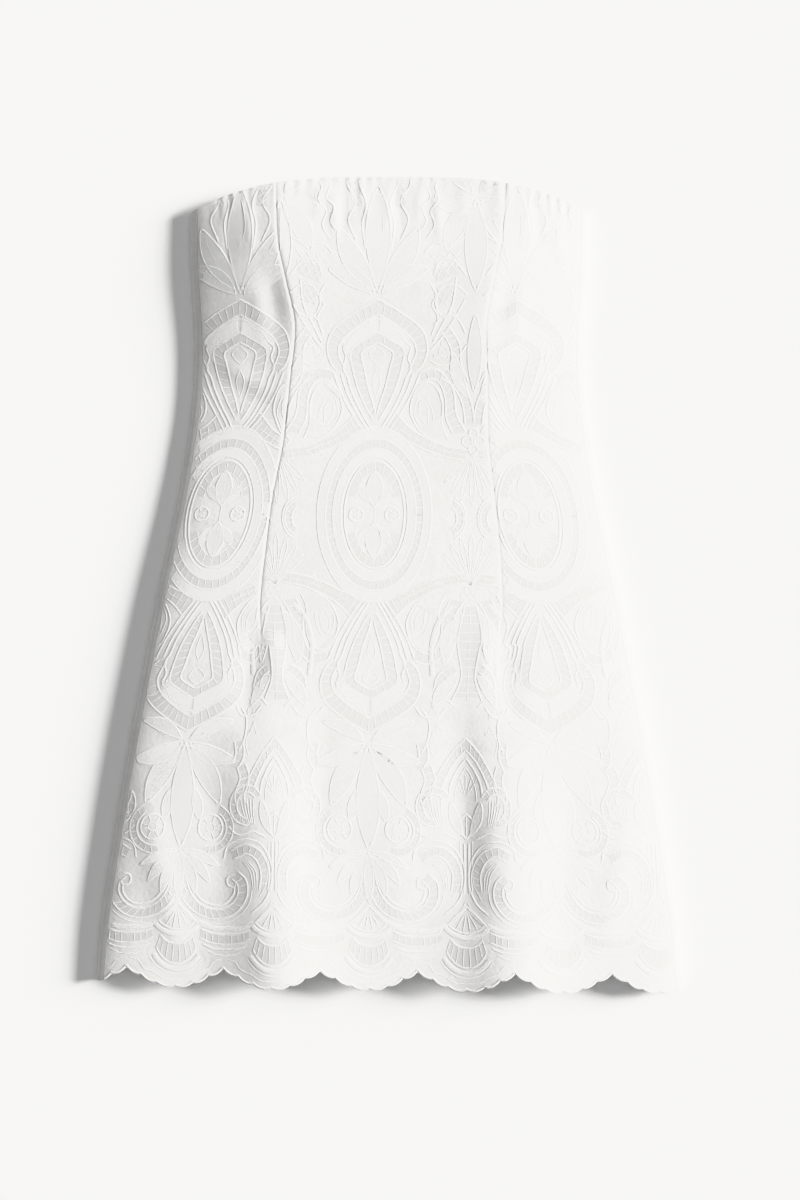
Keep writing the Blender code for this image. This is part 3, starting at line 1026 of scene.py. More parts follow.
    def scroll(self, m: Motif) -> None:
        """One C scroll with its ladder band, eye and feather.

        Args:
            m: the motif that takes the lines.
        """
        sweep = curve((1, 876), (8, 896), (20, 910), (38, 916), (54, 911), (64, 898),
                      (64, 884), (56, 876))
        m.band(sweep, 4.8, 7)
        m.line(beside(sweep, 9)[2:-10])
        m.line(beside(sweep, -9.5)[4:-12], Stitch.FINE)
        m.cord((56, 876), (49, 878), (49, 886), (56, 888), (58, 883))
        m.band(curve((52, 856), (66, 850), (80, 856), (88, 872), (87, 890)), 4.6, 6.6)
        m.cord((44, 860), (48, 846), (66, 840), (84, 846), (95, 866), (95, 892))
        for shift in (0, 5, 10):
            m.fine((64 + shift * 0.5, 862), (72 + shift * 0.6, 872), (76 + shift * 0.4, 890))


class RayColumn(Motif):
    """The column between two medallion columns: hanging leaves, ray fans, trellis, crown and stem."""

    def __init__(self) -> None:
        """Works the column from the neckline down to the border."""
        super().__init__()
        self.hanging_leaves()
        self.rays()
        self.flower_and_trellis()
        self.crown()
        self.stem()

    def hanging_leaves(self) -> None:
        """Leaves that hang from the neckline, over a small four-lobed knot."""
        self.leaf((0, 200), (0, 292), 11)

        def half(m: Motif) -> None:
            """Works one side.

            Args:
                m: the motif that takes the lines.
            """
            m.leaf((2, 203), (30, 252), 9.5, bow=4)
            m.leaf((4, 198), (38, 206), 7, bow=-4)
            m.leaf((4, 194), (30, 172), 6.5, bow=3)
            m.cord((10, 276), (22, 262), (36, 262), (42, 276))
            m.cord((8, 296), (20, 286), (34, 288), (40, 304), (32, 318), (18, 314))
            m.fine((16, 300), (24, 296), (30, 304), (24, 310))
            m.band(curve((30, 330), (20, 346), (18, 366), (10, 384)), 4.6, 7)
            m.leaf((6, 398), (22, 352), 5.5, bow=-3)
            m.band(curve((4, 424), (7, 404), (16, 386), (30, 374)), 4.4, 7)
            m.line(arc(6, 441, 5.2, 5.2))

        self.both(half)
        self.leaf((0, 392), (0, 314), 7)
        self.line(arc(0, 433, 4.6, 5.2))
        self.line(arc(0, 449, 4.6, 5.2))

    def rays(self) -> None:
        """Fans of rays above and below a pair of C arcs."""
        for root, way in ((452, 1), (585, -1)):
            for angle, reach in ((0, 52), (13, 50), (27, 46), (42, 42)):
                turn = math.radians(angle)
                tip = (reach * math.sin(turn), root + way * reach * math.cos(turn))
                self.leaf((0, root), tip, 2.4, vein=False, stitch=Stitch.FINE, fullest=0.68)
                if angle:
                    self.leaf((0, root), (-tip[0], tip[1]), 2.4, vein=False, stitch=Stitch.FINE,
                              fullest=0.68)

        def half(m: Motif) -> None:
            """Works one side.

            Args:
                m: the motif that takes the lines.
            """
            m.ladder(arc(17, 518, 13, 17, -78, 78), arc(16, 518, 7, 11, -74, 74), 5.5)
            m.line(arc(15, 518, 17, 22, -70, 70))

        arcs = Motif()
        half(arcs)
        self.place(arcs, -38)
        self.place(arcs, 38, -1)

    def flower_and_trellis(self) -> None:
        """A small flower over an upright lattice with leaves on both sides."""
        self.line(arc(0, 595, 3.2, 3.2), Stitch.FINE)
        for turn in range(0, 360, 60):
            way = math.radians(turn)
            self.line(arc(7 * math.cos(way), 595 + 7 * math.sin(way), 3.4, 3.4), Stitch.FINE)
        left = curve((-6, 606), (-12, 640), (-7, 676), (-16, 700))
        right = left * (-1, 1)
        self.ladder(left, right, 8.5)
        self.fine((0, 606), (0, 700))

        def half(m: Motif) -> None:
            """Works one side.

            Args:
                m: the motif that takes the lines.
            """
            m.leaf((9, 612), (24, 664), 7.5, bow=4)
            m.leaf((10, 676), (34, 706), 6.5, bow=3)
            m.band(curve((14, 668), (26, 676), (30, 690)), 4.4, 6)
            m.line(curve((18, 604), (32, 622), (38, 648), (36, 676)), Stitch.TAPE)
            m.cord((20, 706), (30, 716), (44, 716), (52, 706))
            m.fine((44, 690), (52, 698), (62, 694), (66, 682))

        self.both(half)

    def crown(self) -> None:
        """A pointed ladder arch over a fan, with combed lobes at its feet."""
        def half(m: Motif) -> None:
            """Works one side.

            Args:
                m: the motif that takes the lines.
            """
            out = curve((0, 737), (14, 752), (26, 770), (34, 786))
            mid = curve((0, 749), (10, 760), (19, 775), (25, 789))
            m.ladder(out, mid, 7)
            m.cord((0, 757), (8, 768), (15, 782), (17, 796))
            m.fine((0, 766), (6, 776), (10, 788), (11, 800))
            m.ladder(arc(32, 806, 18, 20, -150, 100), arc(32, 806, 11, 13, -146, 96), 6.4)
            for shift in (-7, -3.5, 0, 3.5, 7):
                m.fine((32 + shift, 799), (30 + shift * 0.8, 812), (26 + shift * 0.5, 826))
            m.leaf((4, 834), (15, 800), 4.5, bow=-2)
            m.cord((0, 812), (9, 824), (0, 838))
            m.cord((9, 838), (24, 832), (40, 836), (50, 828))
            m.band(curve((44, 742), (42, 756), (48, 768)), 4.5, 6.5)
            m.fine((30, 730), (36, 742), (32, 756))

        self.both(half)
        self.fan(0, 796, 4, 22, -122, -58, 5, Stitch.FINE)
        self.fine((0, 812), (0, 838))

    def stem(self) -> None:
        """A double stem that parts into two small hooks above the border."""
        def half(m: Motif) -> None:
            """Works one side.

            Args:
                m: the motif that takes the lines.
            """
            m.cord((2.2, 842), (2, 870), (3, 886), (10, 902), (22, 913))
            m.fine((6, 840), (6, 866), (8, 884), (15, 898))
            m.fine((1, 900), (5, 908), (12, 914))

        self.both(half)


class Border(Motif):
    """One scallop of the hem's border, about the middle of the scallop."""

    half_pitch = 48.55

    def __init__(self) -> None:
        """Works the tiers from the small fan down to the lobed edge."""
        super().__init__()
        self.small_fan()
        self.lower_fan()
        self.valley_band()
        self.edge_arcs()

    def small_fan(self) -> None:
        """A fan of short rays under the column's foot."""
        self.fan(0, 908, 6, 22, 42, 138, 6)
        self.line(arc(0, 908, 23.5, 23.5, 36, 144))
        self.line(arc(0, 908, 28.5, 28, 34, 146), Stitch.TAPE)
        self.both(lambda m: m.cord((0, 905), (12, 916), (24, 927), (40, 932)))

    def lower_fan(self) -> None:
        """The wide ladder fan over the bottom of the scallop."""
        self.ladder(arc(0, 932, 17, 14, 158, 22), arc(0, 930, 24, 36, 146, 34), 6.6,
                    ends=True)
        self.line(arc(0, 930, 30, 41.5, 140, 40), Stitch.TAPE)
        self.line(arc(0, 930, 34, 46.5, 140, 40), Stitch.FINE)

    def valley_band(self) -> None:
        """Half of the ladder band over each valley beside the scallop."""
        edge = self.half_pitch
        self.both(lambda m: self.ladder_half(m, edge))

    def ladder_half(self, m: Motif, edge: float) -> None:
        """The half band on one side.

        Args:
            m: the motif that takes it.
            edge: distance of the valley from the scallop's middle.
        """
        upper = curve((edge, 936), (edge - 12, 935), (edge - 24, 931))
        lower = curve((edge, 946), (edge - 12, 945), (edge - 25, 940))
        m.ladder(upper, lower, 6.6)
        m.line(curve((edge, 930), (edge - 14, 929), (edge - 28, 923)), Stitch.TAPE)
        m.cord((edge, 951), (edge - 12, 950), (edge - 22, 946))
        m.fine((edge, 957), (edge - 9, 956), (edge - 17, 952.5))

    def edge_arcs(self) -> None:
        """Fine arcs that follow the lobes."""
        self.both(lambda m: m.fine((46, 961), (38, 963), (32, 971), (22, 975), (12, 981), (0, 982)))


class Fillings(Motif):
    """Small leaves and rings worked in the open places between the columns."""

    places: tuple[tuple[float, float, float], ...] = (
        (66, 352, 9), (72, 334, 6), (58, 452, 7), (60, 580, 7),
        (64, 712, 8), (70, 730, 6), (56, 820, 7), (60, 196, 7),
    )

    def __init__(self) -> None:
        """Works the fillings on both sides of a medallion column."""
        super().__init__()
        self.both(self.half)

    def half(self, m: Motif) -> None:
        """The fillings on one side.

        Args:
            m: the motif that takes the lines.
        """
        for x, y, size in self.places:
            m.line(arc(x, y, size * 0.5, size * 0.6), Stitch.FINE)
            for turn in (30, 150, 270):
                way = math.radians(turn)
                tip = (x + size * 1.25 * math.cos(way), y + size * 1.25 * math.sin(way))
                root = (x + size * 0.6 * math.cos(way), y + size * 0.6 * math.sin(way))
                m.leaf(root, tip, size * 0.3, vein=False, stitch=Stitch.FINE)
        m.cord((56, 326), (66, 316), (80, 320), (88, 334))
        m.cord((54, 362), (66, 366), (80, 358), (90, 344))
        m.cord((60, 700), (74, 698), (86, 706))
        m.cord((52, 708), (60, 720), (60, 738), (54, 752))


@dataclass
class Drawing:
    """All worked lines of the cloth, in cloth coordinates."""

    repeat: float = 195.0
    columns: int = 2

    def motif(self) -> Motif:
        """The whole pattern, over the width of one face.

        Returns:
            The pattern.
        """
        medallions = MedallionColumn()
        rays = RayColumn()
        border = Border()
        fillings = Fillings()
        whole = Motif()
        for index in range(-self.columns, self.columns + 1):
            whole.place(medallions, index * self.repeat)
            whole.place(fillings, index * self.repeat)
            whole.place(border, index * self.repeat)
            whole.place(border, (index + 0.5) * self.repeat)
            whole.place(rays, (index + 0.5) * self.repeat)
        return whole


class MeshStore:
    """Collects many small closed bodies and makes them one mesh."""

    def __init__(self) -> None:
        """Starts empty."""
        self.points: list[Points] = []
        self.quads: list[Array] = []
        self.marks: list[Points] = []
        self.count = 0

    def add_strip(self, rings: Array, along: Array) -> None:
        """Adds a closed body from rings of points.

        Args:
            rings: rings by points by 3, in millimetres.
            along: distance along the body of each ring.
        """
        steps, around = rings.shape[:2]
        base = self.count
        ring = np.arange(steps - 1)[:, None] * around
        near = np.arange(around)[None, :]
        far = (near + 1) % around
        faces = np.stack([ring + near, ring + far, ring + around + far, ring + around + near], axis=-1)
        self.quads.append(faces.reshape(-1, 4) + base)
        for start, order in ((0, (0, 3, 2, 1)), ((steps - 1) * around, (0, 1, 2, 3))):
            if around == 4:
                self.quads.append(np.array([[start + i for i in order]]) + base)
            else:
                cap = (((0, 5, 4, 3), (0, 3, 2, 1)) if start == 0 else ((0, 3, 4, 5), (0, 1, 2, 3)))
                self.quads.append(np.array([[start + i for i in face] for face in cap]) + base)
        self.points.append(rings.reshape(-1, 3))
        across = np.broadcast_to(np.linspace(0.0, 1.0, around)[None, :], (steps, around))
        run = np.broadcast_to(along[:, None], (steps, around))
        self.marks.append(np.stack([run, across], axis=-1).reshape(-1, 2))
        self.count += steps * around

    def to_object(self, name: str) -> bpy.types.Object:
        """Makes the mesh object, in metres, with a UV map of distance along and share across.

        Args:
            name: the piece's name.

        Returns:
            The mesh object.
        """
        points = np.vstack(self.points) * MM
        quads = np.vstack(self.quads)
        marks = np.vstack(self.marks)
        mesh = bpy.data.meshes.new(name)
        mesh.vertices.add(len(points))
        mesh.vertices.foreach_set("co", points.astype(np.float32).ravel())
        mesh.loops.add(quads.size)
        mesh.loops.foreach_set("vertex_index", quads.astype(np.int32).ravel())
        mesh.polygons.add(len(quads))
        mesh.polygons.foreach_set("loop_start", np.arange(0, quads.size, 4, dtype=np.int32))
        mesh.update(calc_edges=True)
        layer = mesh.uv_layers.new(name="thread")
        layer.data.foreach_set("uv", (marks[quads.ravel()] * (0.1, 1.0)).astype(np.float32).ravel())
        mesh.validate()
        mesh.shade_smooth()
        mesh.set_sharp_from_angle(angle=math.radians(62.0))
        thing = bpy.data.objects.new(name, mesh)
        bpy.context.scene.collection.objects.link(thing)
        return thing


PROFILES: dict[Stitch, tuple[tuple[float, float], ...]] = {
    Stitch.CORD: ((-1.3, -0.8), (-0.75, 0.45), (-0.28, 1.0), (0.28, 1.0), (0.75, 0.45), (1.3, -0.8)),
    Stitch.FINE: ((-1.3, -0.8), (-0.4, 1.0), (0.4, 1.0), (1.3, -0.8)),
    Stitch.TAPE: ((-1.1, -0.8), (-0.85, 0.6), (-0.55, 1.0), (0.55, 1.0), (0.85, 0.6), (1.1, -0.8)),
    Stitch.BAR: ((-1.3, -0.8), (-0.4, 1.0), (0.4, 1.0), (1.3, -0.8)),
    Stitch.EDGE: ((-1.3, -0.8), (-0.75, 0.45), (-0.28, 1.0), (0.28, 1.0), (0.75, 0.45), (1.3, -0.8)),
}
"""Outlines of the worked lines: share of the half width across, and share of the height up."""


@dataclass
class Embroiderer:
    """Lays worked lines on a face of the dress."""

    pattern: Pattern
    ground: Ground
    coarse: float = 1.0
    relief: float = 1.0
    web_step: float = 4.0
    web_root: float = -0.25
    web_widest: float = 26.0
    web_longest_steps: float = 4.0
    longest_steps: float = 3.0
    end_taper: float = 0.8

    def lay(self, strokes: Sequence[Stroke], chosen: Sequence[Stitch], name: str) -> bpy.types.Object:
        """Makes one mesh of all lines that are worked in the chosen ways.

        Args:
            strokes: lines in cloth coordinates.
            chosen: the ways of working that this piece holds.
            name: the piece's name.

        Returns:
            The mesh object.
        """
        store = MeshStore()
        for stitch in chosen:
            lines = [stroke.points for stroke in strokes if stroke.stitch is stitch]
            least = 3 if stitch is Stitch.BAR else 2
            step = stitch.step * self.coarse / PIXEL
            spots = [evenly(line, max(least, int(round(length_of(line) / step)) + 1)) for line in lines]
            starts = np.cumsum([0] + [len(spot) for spot in spots])
            joined = np.vstack(spots)
            x, drop, shows = self.pattern.place(joined[:, 0], joined[:, 1], self.ground.side)
            shows &= self.ground.inside(x, drop)
            self.add_lines(store, x, drop, shows, starts, stitch)
        return store.to_object(name)

    def lay_webs(self, webs: Sequence[Web], fill: Fill, name: str) -> bpy.types.Object:
        """Makes one mesh of all strips of one kind.

        Args:
            webs: strips in cloth coordinates.
            fill: the kind of strip that this piece holds.
            name: the piece's name.

        Returns:
            The mesh object.
        """
        store = MeshStore()
        for web in webs:
            if web.fill is not fill:
                continue
            count = max(3, int(round(length_of(web.first) * PIXEL / self.web_step)) + 1)
            rails = [evenly(line, count) for line in (web.first, web.second)]
            middle = (rails[0] + rails[1]) / 2
            x, drop, shows = self.pattern.place(
                np.concatenate([rails[0][:, 0], middle[:, 0], rails[1][:, 0]]),
                np.concatenate([rails[0][:, 1], middle[:, 1], rails[1][:, 1]]),
                self.ground.side,
            )
            shows &= self.ground.inside(x, drop)
            good = shows.reshape(3, count).all(axis=0)
            top = self.ground.point(x, drop, fill.value).reshape(3, count, 3)
            foot = self.ground.point(x, drop, self.web_root).reshape(3, count, 3)
            rings = np.stack([top[0], top[1], top[2], foot[2], foot[1], foot[0]], axis=1)
            wide = np.linalg.norm(top[0] - top[2], axis=-1)
            good &= wide < self.web_widest
            edges = np.flatnonzero(np.diff(np.concatenate([[0], good.astype(int), [0]])))
            for start, end in zip(edges[::2], edges[1::2]):
                jumps = np.linalg.norm(np.diff(top[1, start:end], axis=0), axis=-1)
                if end - start > 1 and (jumps < self.web_longest_steps * self.web_step).all():
                    store.add_strip(rings[start:end], np.arange(end - start) * self.web_step)
        return store.to_object(name)

    def lay_on_dress(self, store: MeshStore, x: Array, drop: Array, starts: Array, stitch: Stitch) -> None:
        """Adds lines given by places on the dress.

        Args:
            store: the mesh that takes them.
            x: distance from the middle of the dress.
            drop: distance below the top of the neckline.
            starts: the index at which each line starts, with the end of the last one.
            stitch: how it is worked.
        """
        self.add_lines(store, x, drop, np.ones(len(x), bool), starts, stitch)

    def add_lines(self, store: MeshStore, x: Array, drop: Array, shows: Array, starts: Array,
                  stitch: Stitch) -> None:
        """Adds the stretches of lines that show.

        Args:
            store: the mesh that takes them.
            x: places across, of all lines one after the other.
            drop: drops of the same places.
            shows: whether each place shows.
            starts: the index at which each line starts, with the end of the last one.
            stitch: how the lines are worked.
        """
        spots = self.ground.point(x, drop)
        out = self.ground.direction(x, drop)
        longest = self.longest_steps * stitch.step * self.coarse
        jump = np.hypot(np.diff(x), np.diff(drop)) > longest
        for first, last in zip(starts[:-1], starts[1:]):
            low = first
            for index in range(first, last):
                ends = index + 1 == last or not shows[index] or jump[index]
                if not shows[index]:
                    low = index + 1
                elif ends or not shows[index + 1]:
                    if index - low >= 1:
                        self.add_run(store, spots[low:index + 1], out[low:index + 1], stitch)
                    low = index + 1

    def add_run(self, store: MeshStore, spots: Points, out: Points, stitch: Stitch) -> None:
        """Adds one unbroken line as a closed body.

        Args:
            store: the mesh that takes them.
            spots: the line's points on the face.
            out: the face's direction at each point.
            stitch: how it is worked.
        """
        ahead = np.gradient(spots, axis=0)
        size = np.linalg.norm(ahead, axis=1, keepdims=True)
        if (size < 1e-6).any():
            return
        side = np.cross(out, ahead / size)
        side /= np.maximum(np.linalg.norm(side, axis=1, keepdims=True), 1e-9)
        profile = np.array(PROFILES[stitch])
        taper = np.ones(len(spots))
        taper[0] = taper[-1] = self.end_taper
        across = profile[:, 0] * stitch.half_width
        up = profile[:, 1] * stitch.height * self.relief
        rings = (
            spots[:, None, :]
            + side[:, None, :] * (across[None, :] * taper[:, None])[..., None]
            + out[:, None, :] * (up[None, :] * taper[:, None])[..., None]
        )
        along = np.concatenate([[0.0], np.cumsum(size[1:, 0])])
        store.add_strip(rings[:, ::-1], along)


class Nodes:
    """Short hand for a material's node tree."""

    def __init__(self, name: str) -> None:
        """Makes an empty node material with a Principled shader.

        Args:
            name: the material's name.
        """
        self.material = bpy.data.materials.new(name)
        self.material.use_nodes = True
        self.tree = self.material.node_tree
        self.shader = self.tree.nodes["Principled BSDF"]

    def node(self, kind: str, **values: object) -> bpy.types.Node:
        """Adds a node; inputs are given by their names with _ for a blank.

        Args:
            kind: the node's type.
            values: values of inputs or settings, by name.

        Returns:
            The new node.
        """
        made = self.tree.nodes.new(kind)
        for key, value in values.items():
            label = key.replace("_", " ")
            if label in made.inputs:
                made.inputs[label].default_value = value
            else:
                setattr(made, key, value)
        return made

    def link(self, source: bpy.types.Node, output: int | str, target: bpy.types.Node,
             entry: int | str) -> None:
        """Joins an output to an input.

        Args:
            source: the node that gives.
            output: its output.
            target: the node that takes.
            entry: its input.
        """
        self.tree.links.new(source.outputs[output], target.inputs[entry])

    def mix(self, low: Colour, high: Colour, source: bpy.types.Node, output: int | str) -> None:
        """Colours the shader between two colours.

        Args:
            low: the colour at 0.
            high: the colour at 1.
            source: the node that gives the share.
            output: its output.
        """
        made = self.node("ShaderNodeMix", data_type="RGBA")
        made.inputs[6].default_value = low
        made.inputs[7].default_value = high
        self.link(source, output, made, 0)
        self.link(made, 2, self.shader, "Base Color")

    def bump(self, source: bpy.types.Node, output: int | str, strength: float, distance: float,
             invert: bool = False) -> bpy.types.Node:
        """Gives the shader a bump.

        Args:
            source: the node that gives the height.
            output: its output.
            strength: how strong it is, from 0 to 1.
            distance: its height in metres.
            invert: whether high places are sunk.

        Returns:
            The bump node.
        """
        made = self.node("ShaderNodeBump", Strength=strength, Distance=distance, invert=invert)
        self.link(source, output, made, "Height")
        self.link(made, 0, self.shader, "Normal")
        return made

    def shade(self, **values: object) -> None:
        """Sets sockets of the shader.

        Args:
            values: values of inputs or settings, by name.
        """
        for key, value in values.items():
            self.shader.inputs[key.replace("_", " ")].default_value = value


@dataclass(frozen=True)
class CottonFinish:
    """Plain cotton ground: a fine weave, soft slubs and small uneven tone."""

    light: Colour = (0.75, 0.747, 0.738, 1.0)
    dark: Colour = (0.68, 0.676, 0.665, 1.0)
    roughness: float = 0.88
    sheen: float = 0.12
    thread_mm: float = 0.55
    weave_depth: float = 0.2
    ground_depth: float = 0.35

    def material(self, name: str) -> bpy.types.Material:
        """Builds the material on the piece's UV map, which is in millimetres of cloth.

        Args:
            name: the material's name.

        Returns:
            The material.
        """
        made = Nodes(name)
        made.shade(Roughness=self.roughness, Sheen_Weight=self.sheen, Sheen_Roughness=0.6)
        place = made.node("ShaderNodeUVMap", uv_map="cloth")
        tone = made.node("ShaderNodeTexNoise", Scale=0.035, Detail=4.0, Roughness=0.65)
        made.link(place, 0, tone, "Vector")
        spread = made.node("ShaderNodeMapRange", From_Min=0.3, From_Max=0.58)
        made.link(tone, 0, spread, "Value")
        made.mix(self.dark, self.light, spread, 0)
        warp = self.wave(made, place, "X")
        weft = self.wave(made, place, "Y")
        weave = made.node("ShaderNodeMath", operation="MULTIPLY")
        made.link(warp, "Fac", weave, 0)
        made.link(weft, "Fac", weave, 1)
        fine = made.bump(weave, 0, self.weave_depth, 0.00012)
        pits = made.node("ShaderNodeTexVoronoi", Scale=0.3, feature="SMOOTH_F1")
        made.link(place, 0, pits, "Vector")
        slubs = made.node("ShaderNodeTexNoise", Scale=0.3, Detail=3.0)
        made.link(place, 0, slubs, "Vector")
        mixed = made.node("ShaderNodeMath", operation="ADD")
        made.link(pits, "Distance", mixed, 0)
        made.link(slubs, 0, mixed, 1)
        rough = made.bump(mixed, 0, self.ground_depth, 0.0003)
        made.link(fine, 0, rough, "Normal")
        return made.material

    def wave(self, made: Nodes, place: bpy.types.Node, way: str) -> bpy.types.Node:
        """One direction of the weave.

        Args:
            made: the material's nodes.
            place: the node that gives the place.
            way: the axis along which the threads change, X or Y.

        Returns:
            The node of the threads.
        """
        wave = made.node("ShaderNodeTexWave", bands_direction=way, Scale=0.314 / self.thread_mm,
                         Distortion=0.6, Detail=1.0)
        made.link(place, 0, wave, "Vector")
        return wave


@dataclass(frozen=True)
class ThreadFinish:
    """Embroidery thread: close slanting stitches with a soft gloss."""

    light: Colour = (0.79, 0.787, 0.778, 1.0)
    dark: Colour = (0.73, 0.727, 0.718, 1.0)
    roughness: float = 0.62
    sheen: float = 0.1
    stitches: float = 9.0
    depth: float = 0.4

    def material(self, name: str) -> bpy.types.Material:
        """Builds the material on the piece's UV map, which runs along each line.

        Args:
            name: the material's name.

        Returns:
            The material.
        """
        made = Nodes(name)
        made.shade(Roughness=self.roughness, Sheen_Weight=self.sheen, Sheen_Roughness=0.5)
        place = made.node("ShaderNodeUVMap", uv_map="thread")
        slant = made.node("ShaderNodeMapping")
        slant.inputs["Rotation"].default_value = (0.0, 0.0, 0.35)
        made.link(place, 0, slant, "Vector")
        wave = made.node("ShaderNodeTexWave", bands_direction="X", Scale=self.stitches, Distortion=0.8,
                         Detail=2.0)
        made.link(slant, 0, wave, "Vector")
        made.mix(self.dark, self.light, wave, "Fac")
        made.bump(wave, "Fac", self.depth, 0.0002)
        return made.material


@dataclass(frozen=True)
class NetAndPaintedShadeFinish:
    """Netted ground of the ladder bands with fine holes, coloured darker than the cloth as painted shade of
    the recessed cells.
    """

    # Both tones are darker than the cloth: painted shade of the recessed ladder cells; the holes pattern
    # between them is texture.
    light: Colour = (0.70, 0.695, 0.685, 1.0)
    dark: Colour = (0.6, 0.595, 0.585, 1.0)

    def material(self, name: str) -> bpy.types.Material:
        """Builds the material on object coordinates.

        Args:
            name: the material's name.

        Returns:
            The material.
        """
        made = Nodes(name)
        made.shade(Roughness=0.9, Sheen_Weight=0.1)
        place = made.node("ShaderNodeTexCoord")
        holes = made.node("ShaderNodeTexVoronoi", Scale=900.0)
        made.link(place, "Object", holes, "Vector")
        made.mix(self.light, self.dark, holes, "Distance")
        made.bump(holes, "Distance", 0.3, 0.0002, invert=True)
        return made.material


@dataclass(frozen=True)
class TapeFinish:
    """Woven zip tape: fine ribs across it."""

    colour: Colour = (0.86, 0.86, 0.84, 1.0)
    rib_scale: float = 900.0

    def material(self, name: str) -> bpy.types.Material:
        """Builds the material on object coordinates.

        Args:
            name: the material's name.

        Returns:
            The material.
        """
        made = Nodes(name)
        made.shade(Roughness=0.7, Sheen_Weight=0.1)
        place = made.node("ShaderNodeTexCoord")
        wave = made.node("ShaderNodeTexWave", bands_direction="Y", Scale=self.rib_scale / 6.0, Distortion=0.5)
        made.link(place, "Object", wave, "Vector")
        made.mix(tuple(0.9 * value for value in self.colour[:3]) + (1.0,), self.colour, wave, "Fac")
        made.bump(wave, "Fac", 0.4, 0.0002)
        return made.material


@dataclass(frozen=True)
class MetalFinish:
    """White enamel on zip metal, a little worn."""

    colour: Colour = (0.82, 0.82, 0.81, 1.0)
    worn: Colour = (0.7, 0.7, 0.7, 1.0)

    def material(self, name: str) -> bpy.types.Material:
        """Builds the material on object coordinates.

        Args:
            name: the material's name.

        Returns:
            The material.
        """
        made = Nodes(name)
        made.shade(Metallic=0.3)
        place = made.node("ShaderNodeTexCoord")
        wear = made.node("ShaderNodeTexNoise", Scale=700.0, Detail=3.0)
        made.link(place, "Object", wear, "Vector")
        rough = made.node("ShaderNodeMapRange", To_Min=0.25, To_Max=0.5)
        made.link(wear, 0, rough, "Value")
        made.link(rough, 0, made.shader, "Roughness")
        made.mix(self.worn, self.colour, wear, 0)
        return made.material


def deselect_all() -> None:
    """Leaves nothing selected."""
    for thing in bpy.context.selected_objects:
        thing.select_set(False)


def set_points(mesh: bpy.types.Mesh, points: Points) -> None:
    """Moves a mesh's points, given in millimetres.

    Args:
        mesh: the mesh.
        points: the new places.
    """
    mesh.vertices.foreach_set("co", (points * MM).astype(np.float32).ravel())
    mesh.update()


@dataclass
class ClothPanel:
    """A panel of cloth, made from a grid that is shaped to the dress."""

    name: str
    columns: int
    rows: int
    place: Callable[[Array, Array], tuple[Points, Points]]
    wall: float = 1.2
    faces_down: bool = False

    def build(self) -> bpy.types.Object:
        """Shapes the grid and gives it its thickness.

        Returns:
            The panel's object.
        """
        deselect_all()
        bpy.ops.mesh.primitive_grid_add(x_subdivisions=self.columns, y_subdivisions=self.rows, size=1.0)
        panel = bpy.context.object
        panel.name = self.name
        mesh = panel.data
        flat = np.zeros(len(mesh.vertices) * 3, np.float32)
        mesh.vertices.foreach_get("co", flat)
        flat = flat.reshape(-1, 3).astype(float)
        points, cloth = self.place(flat[:, 0] + 0.5, 0.5 - flat[:, 1])
        set_points(mesh, points)
        panel.location = (0.0, 0.0, 0.0)
        layer = mesh.uv_layers.active or mesh.uv_layers.new()
        layer.name = "cloth"
        corners = np.zeros(len(mesh.loops), np.int32)
        mesh.loops.foreach_get("vertex_index", corners)
        layer.data.foreach_set("uv", cloth[corners].astype(np.float32).ravel())
        wall = panel.modifiers.new("wall", "SOLIDIFY")
        wall.thickness = self.wall * MM
        wall.offset = 1.0 if self.faces_down else -1.0
        bpy.ops.object.modifier_apply(modifier=wall.name)
        if self.faces_down:
            bpy.ops.object.mode_set(mode="EDIT")
            bpy.ops.mesh.select_all(action="SELECT")
            bpy.ops.mesh.normals_make_consistent(inside=False)
            bpy.ops.object.mode_set(mode="OBJECT")
        mesh.shade_smooth()
        mesh.set_sharp_from_angle(angle=math.radians(60.0))
        return panel


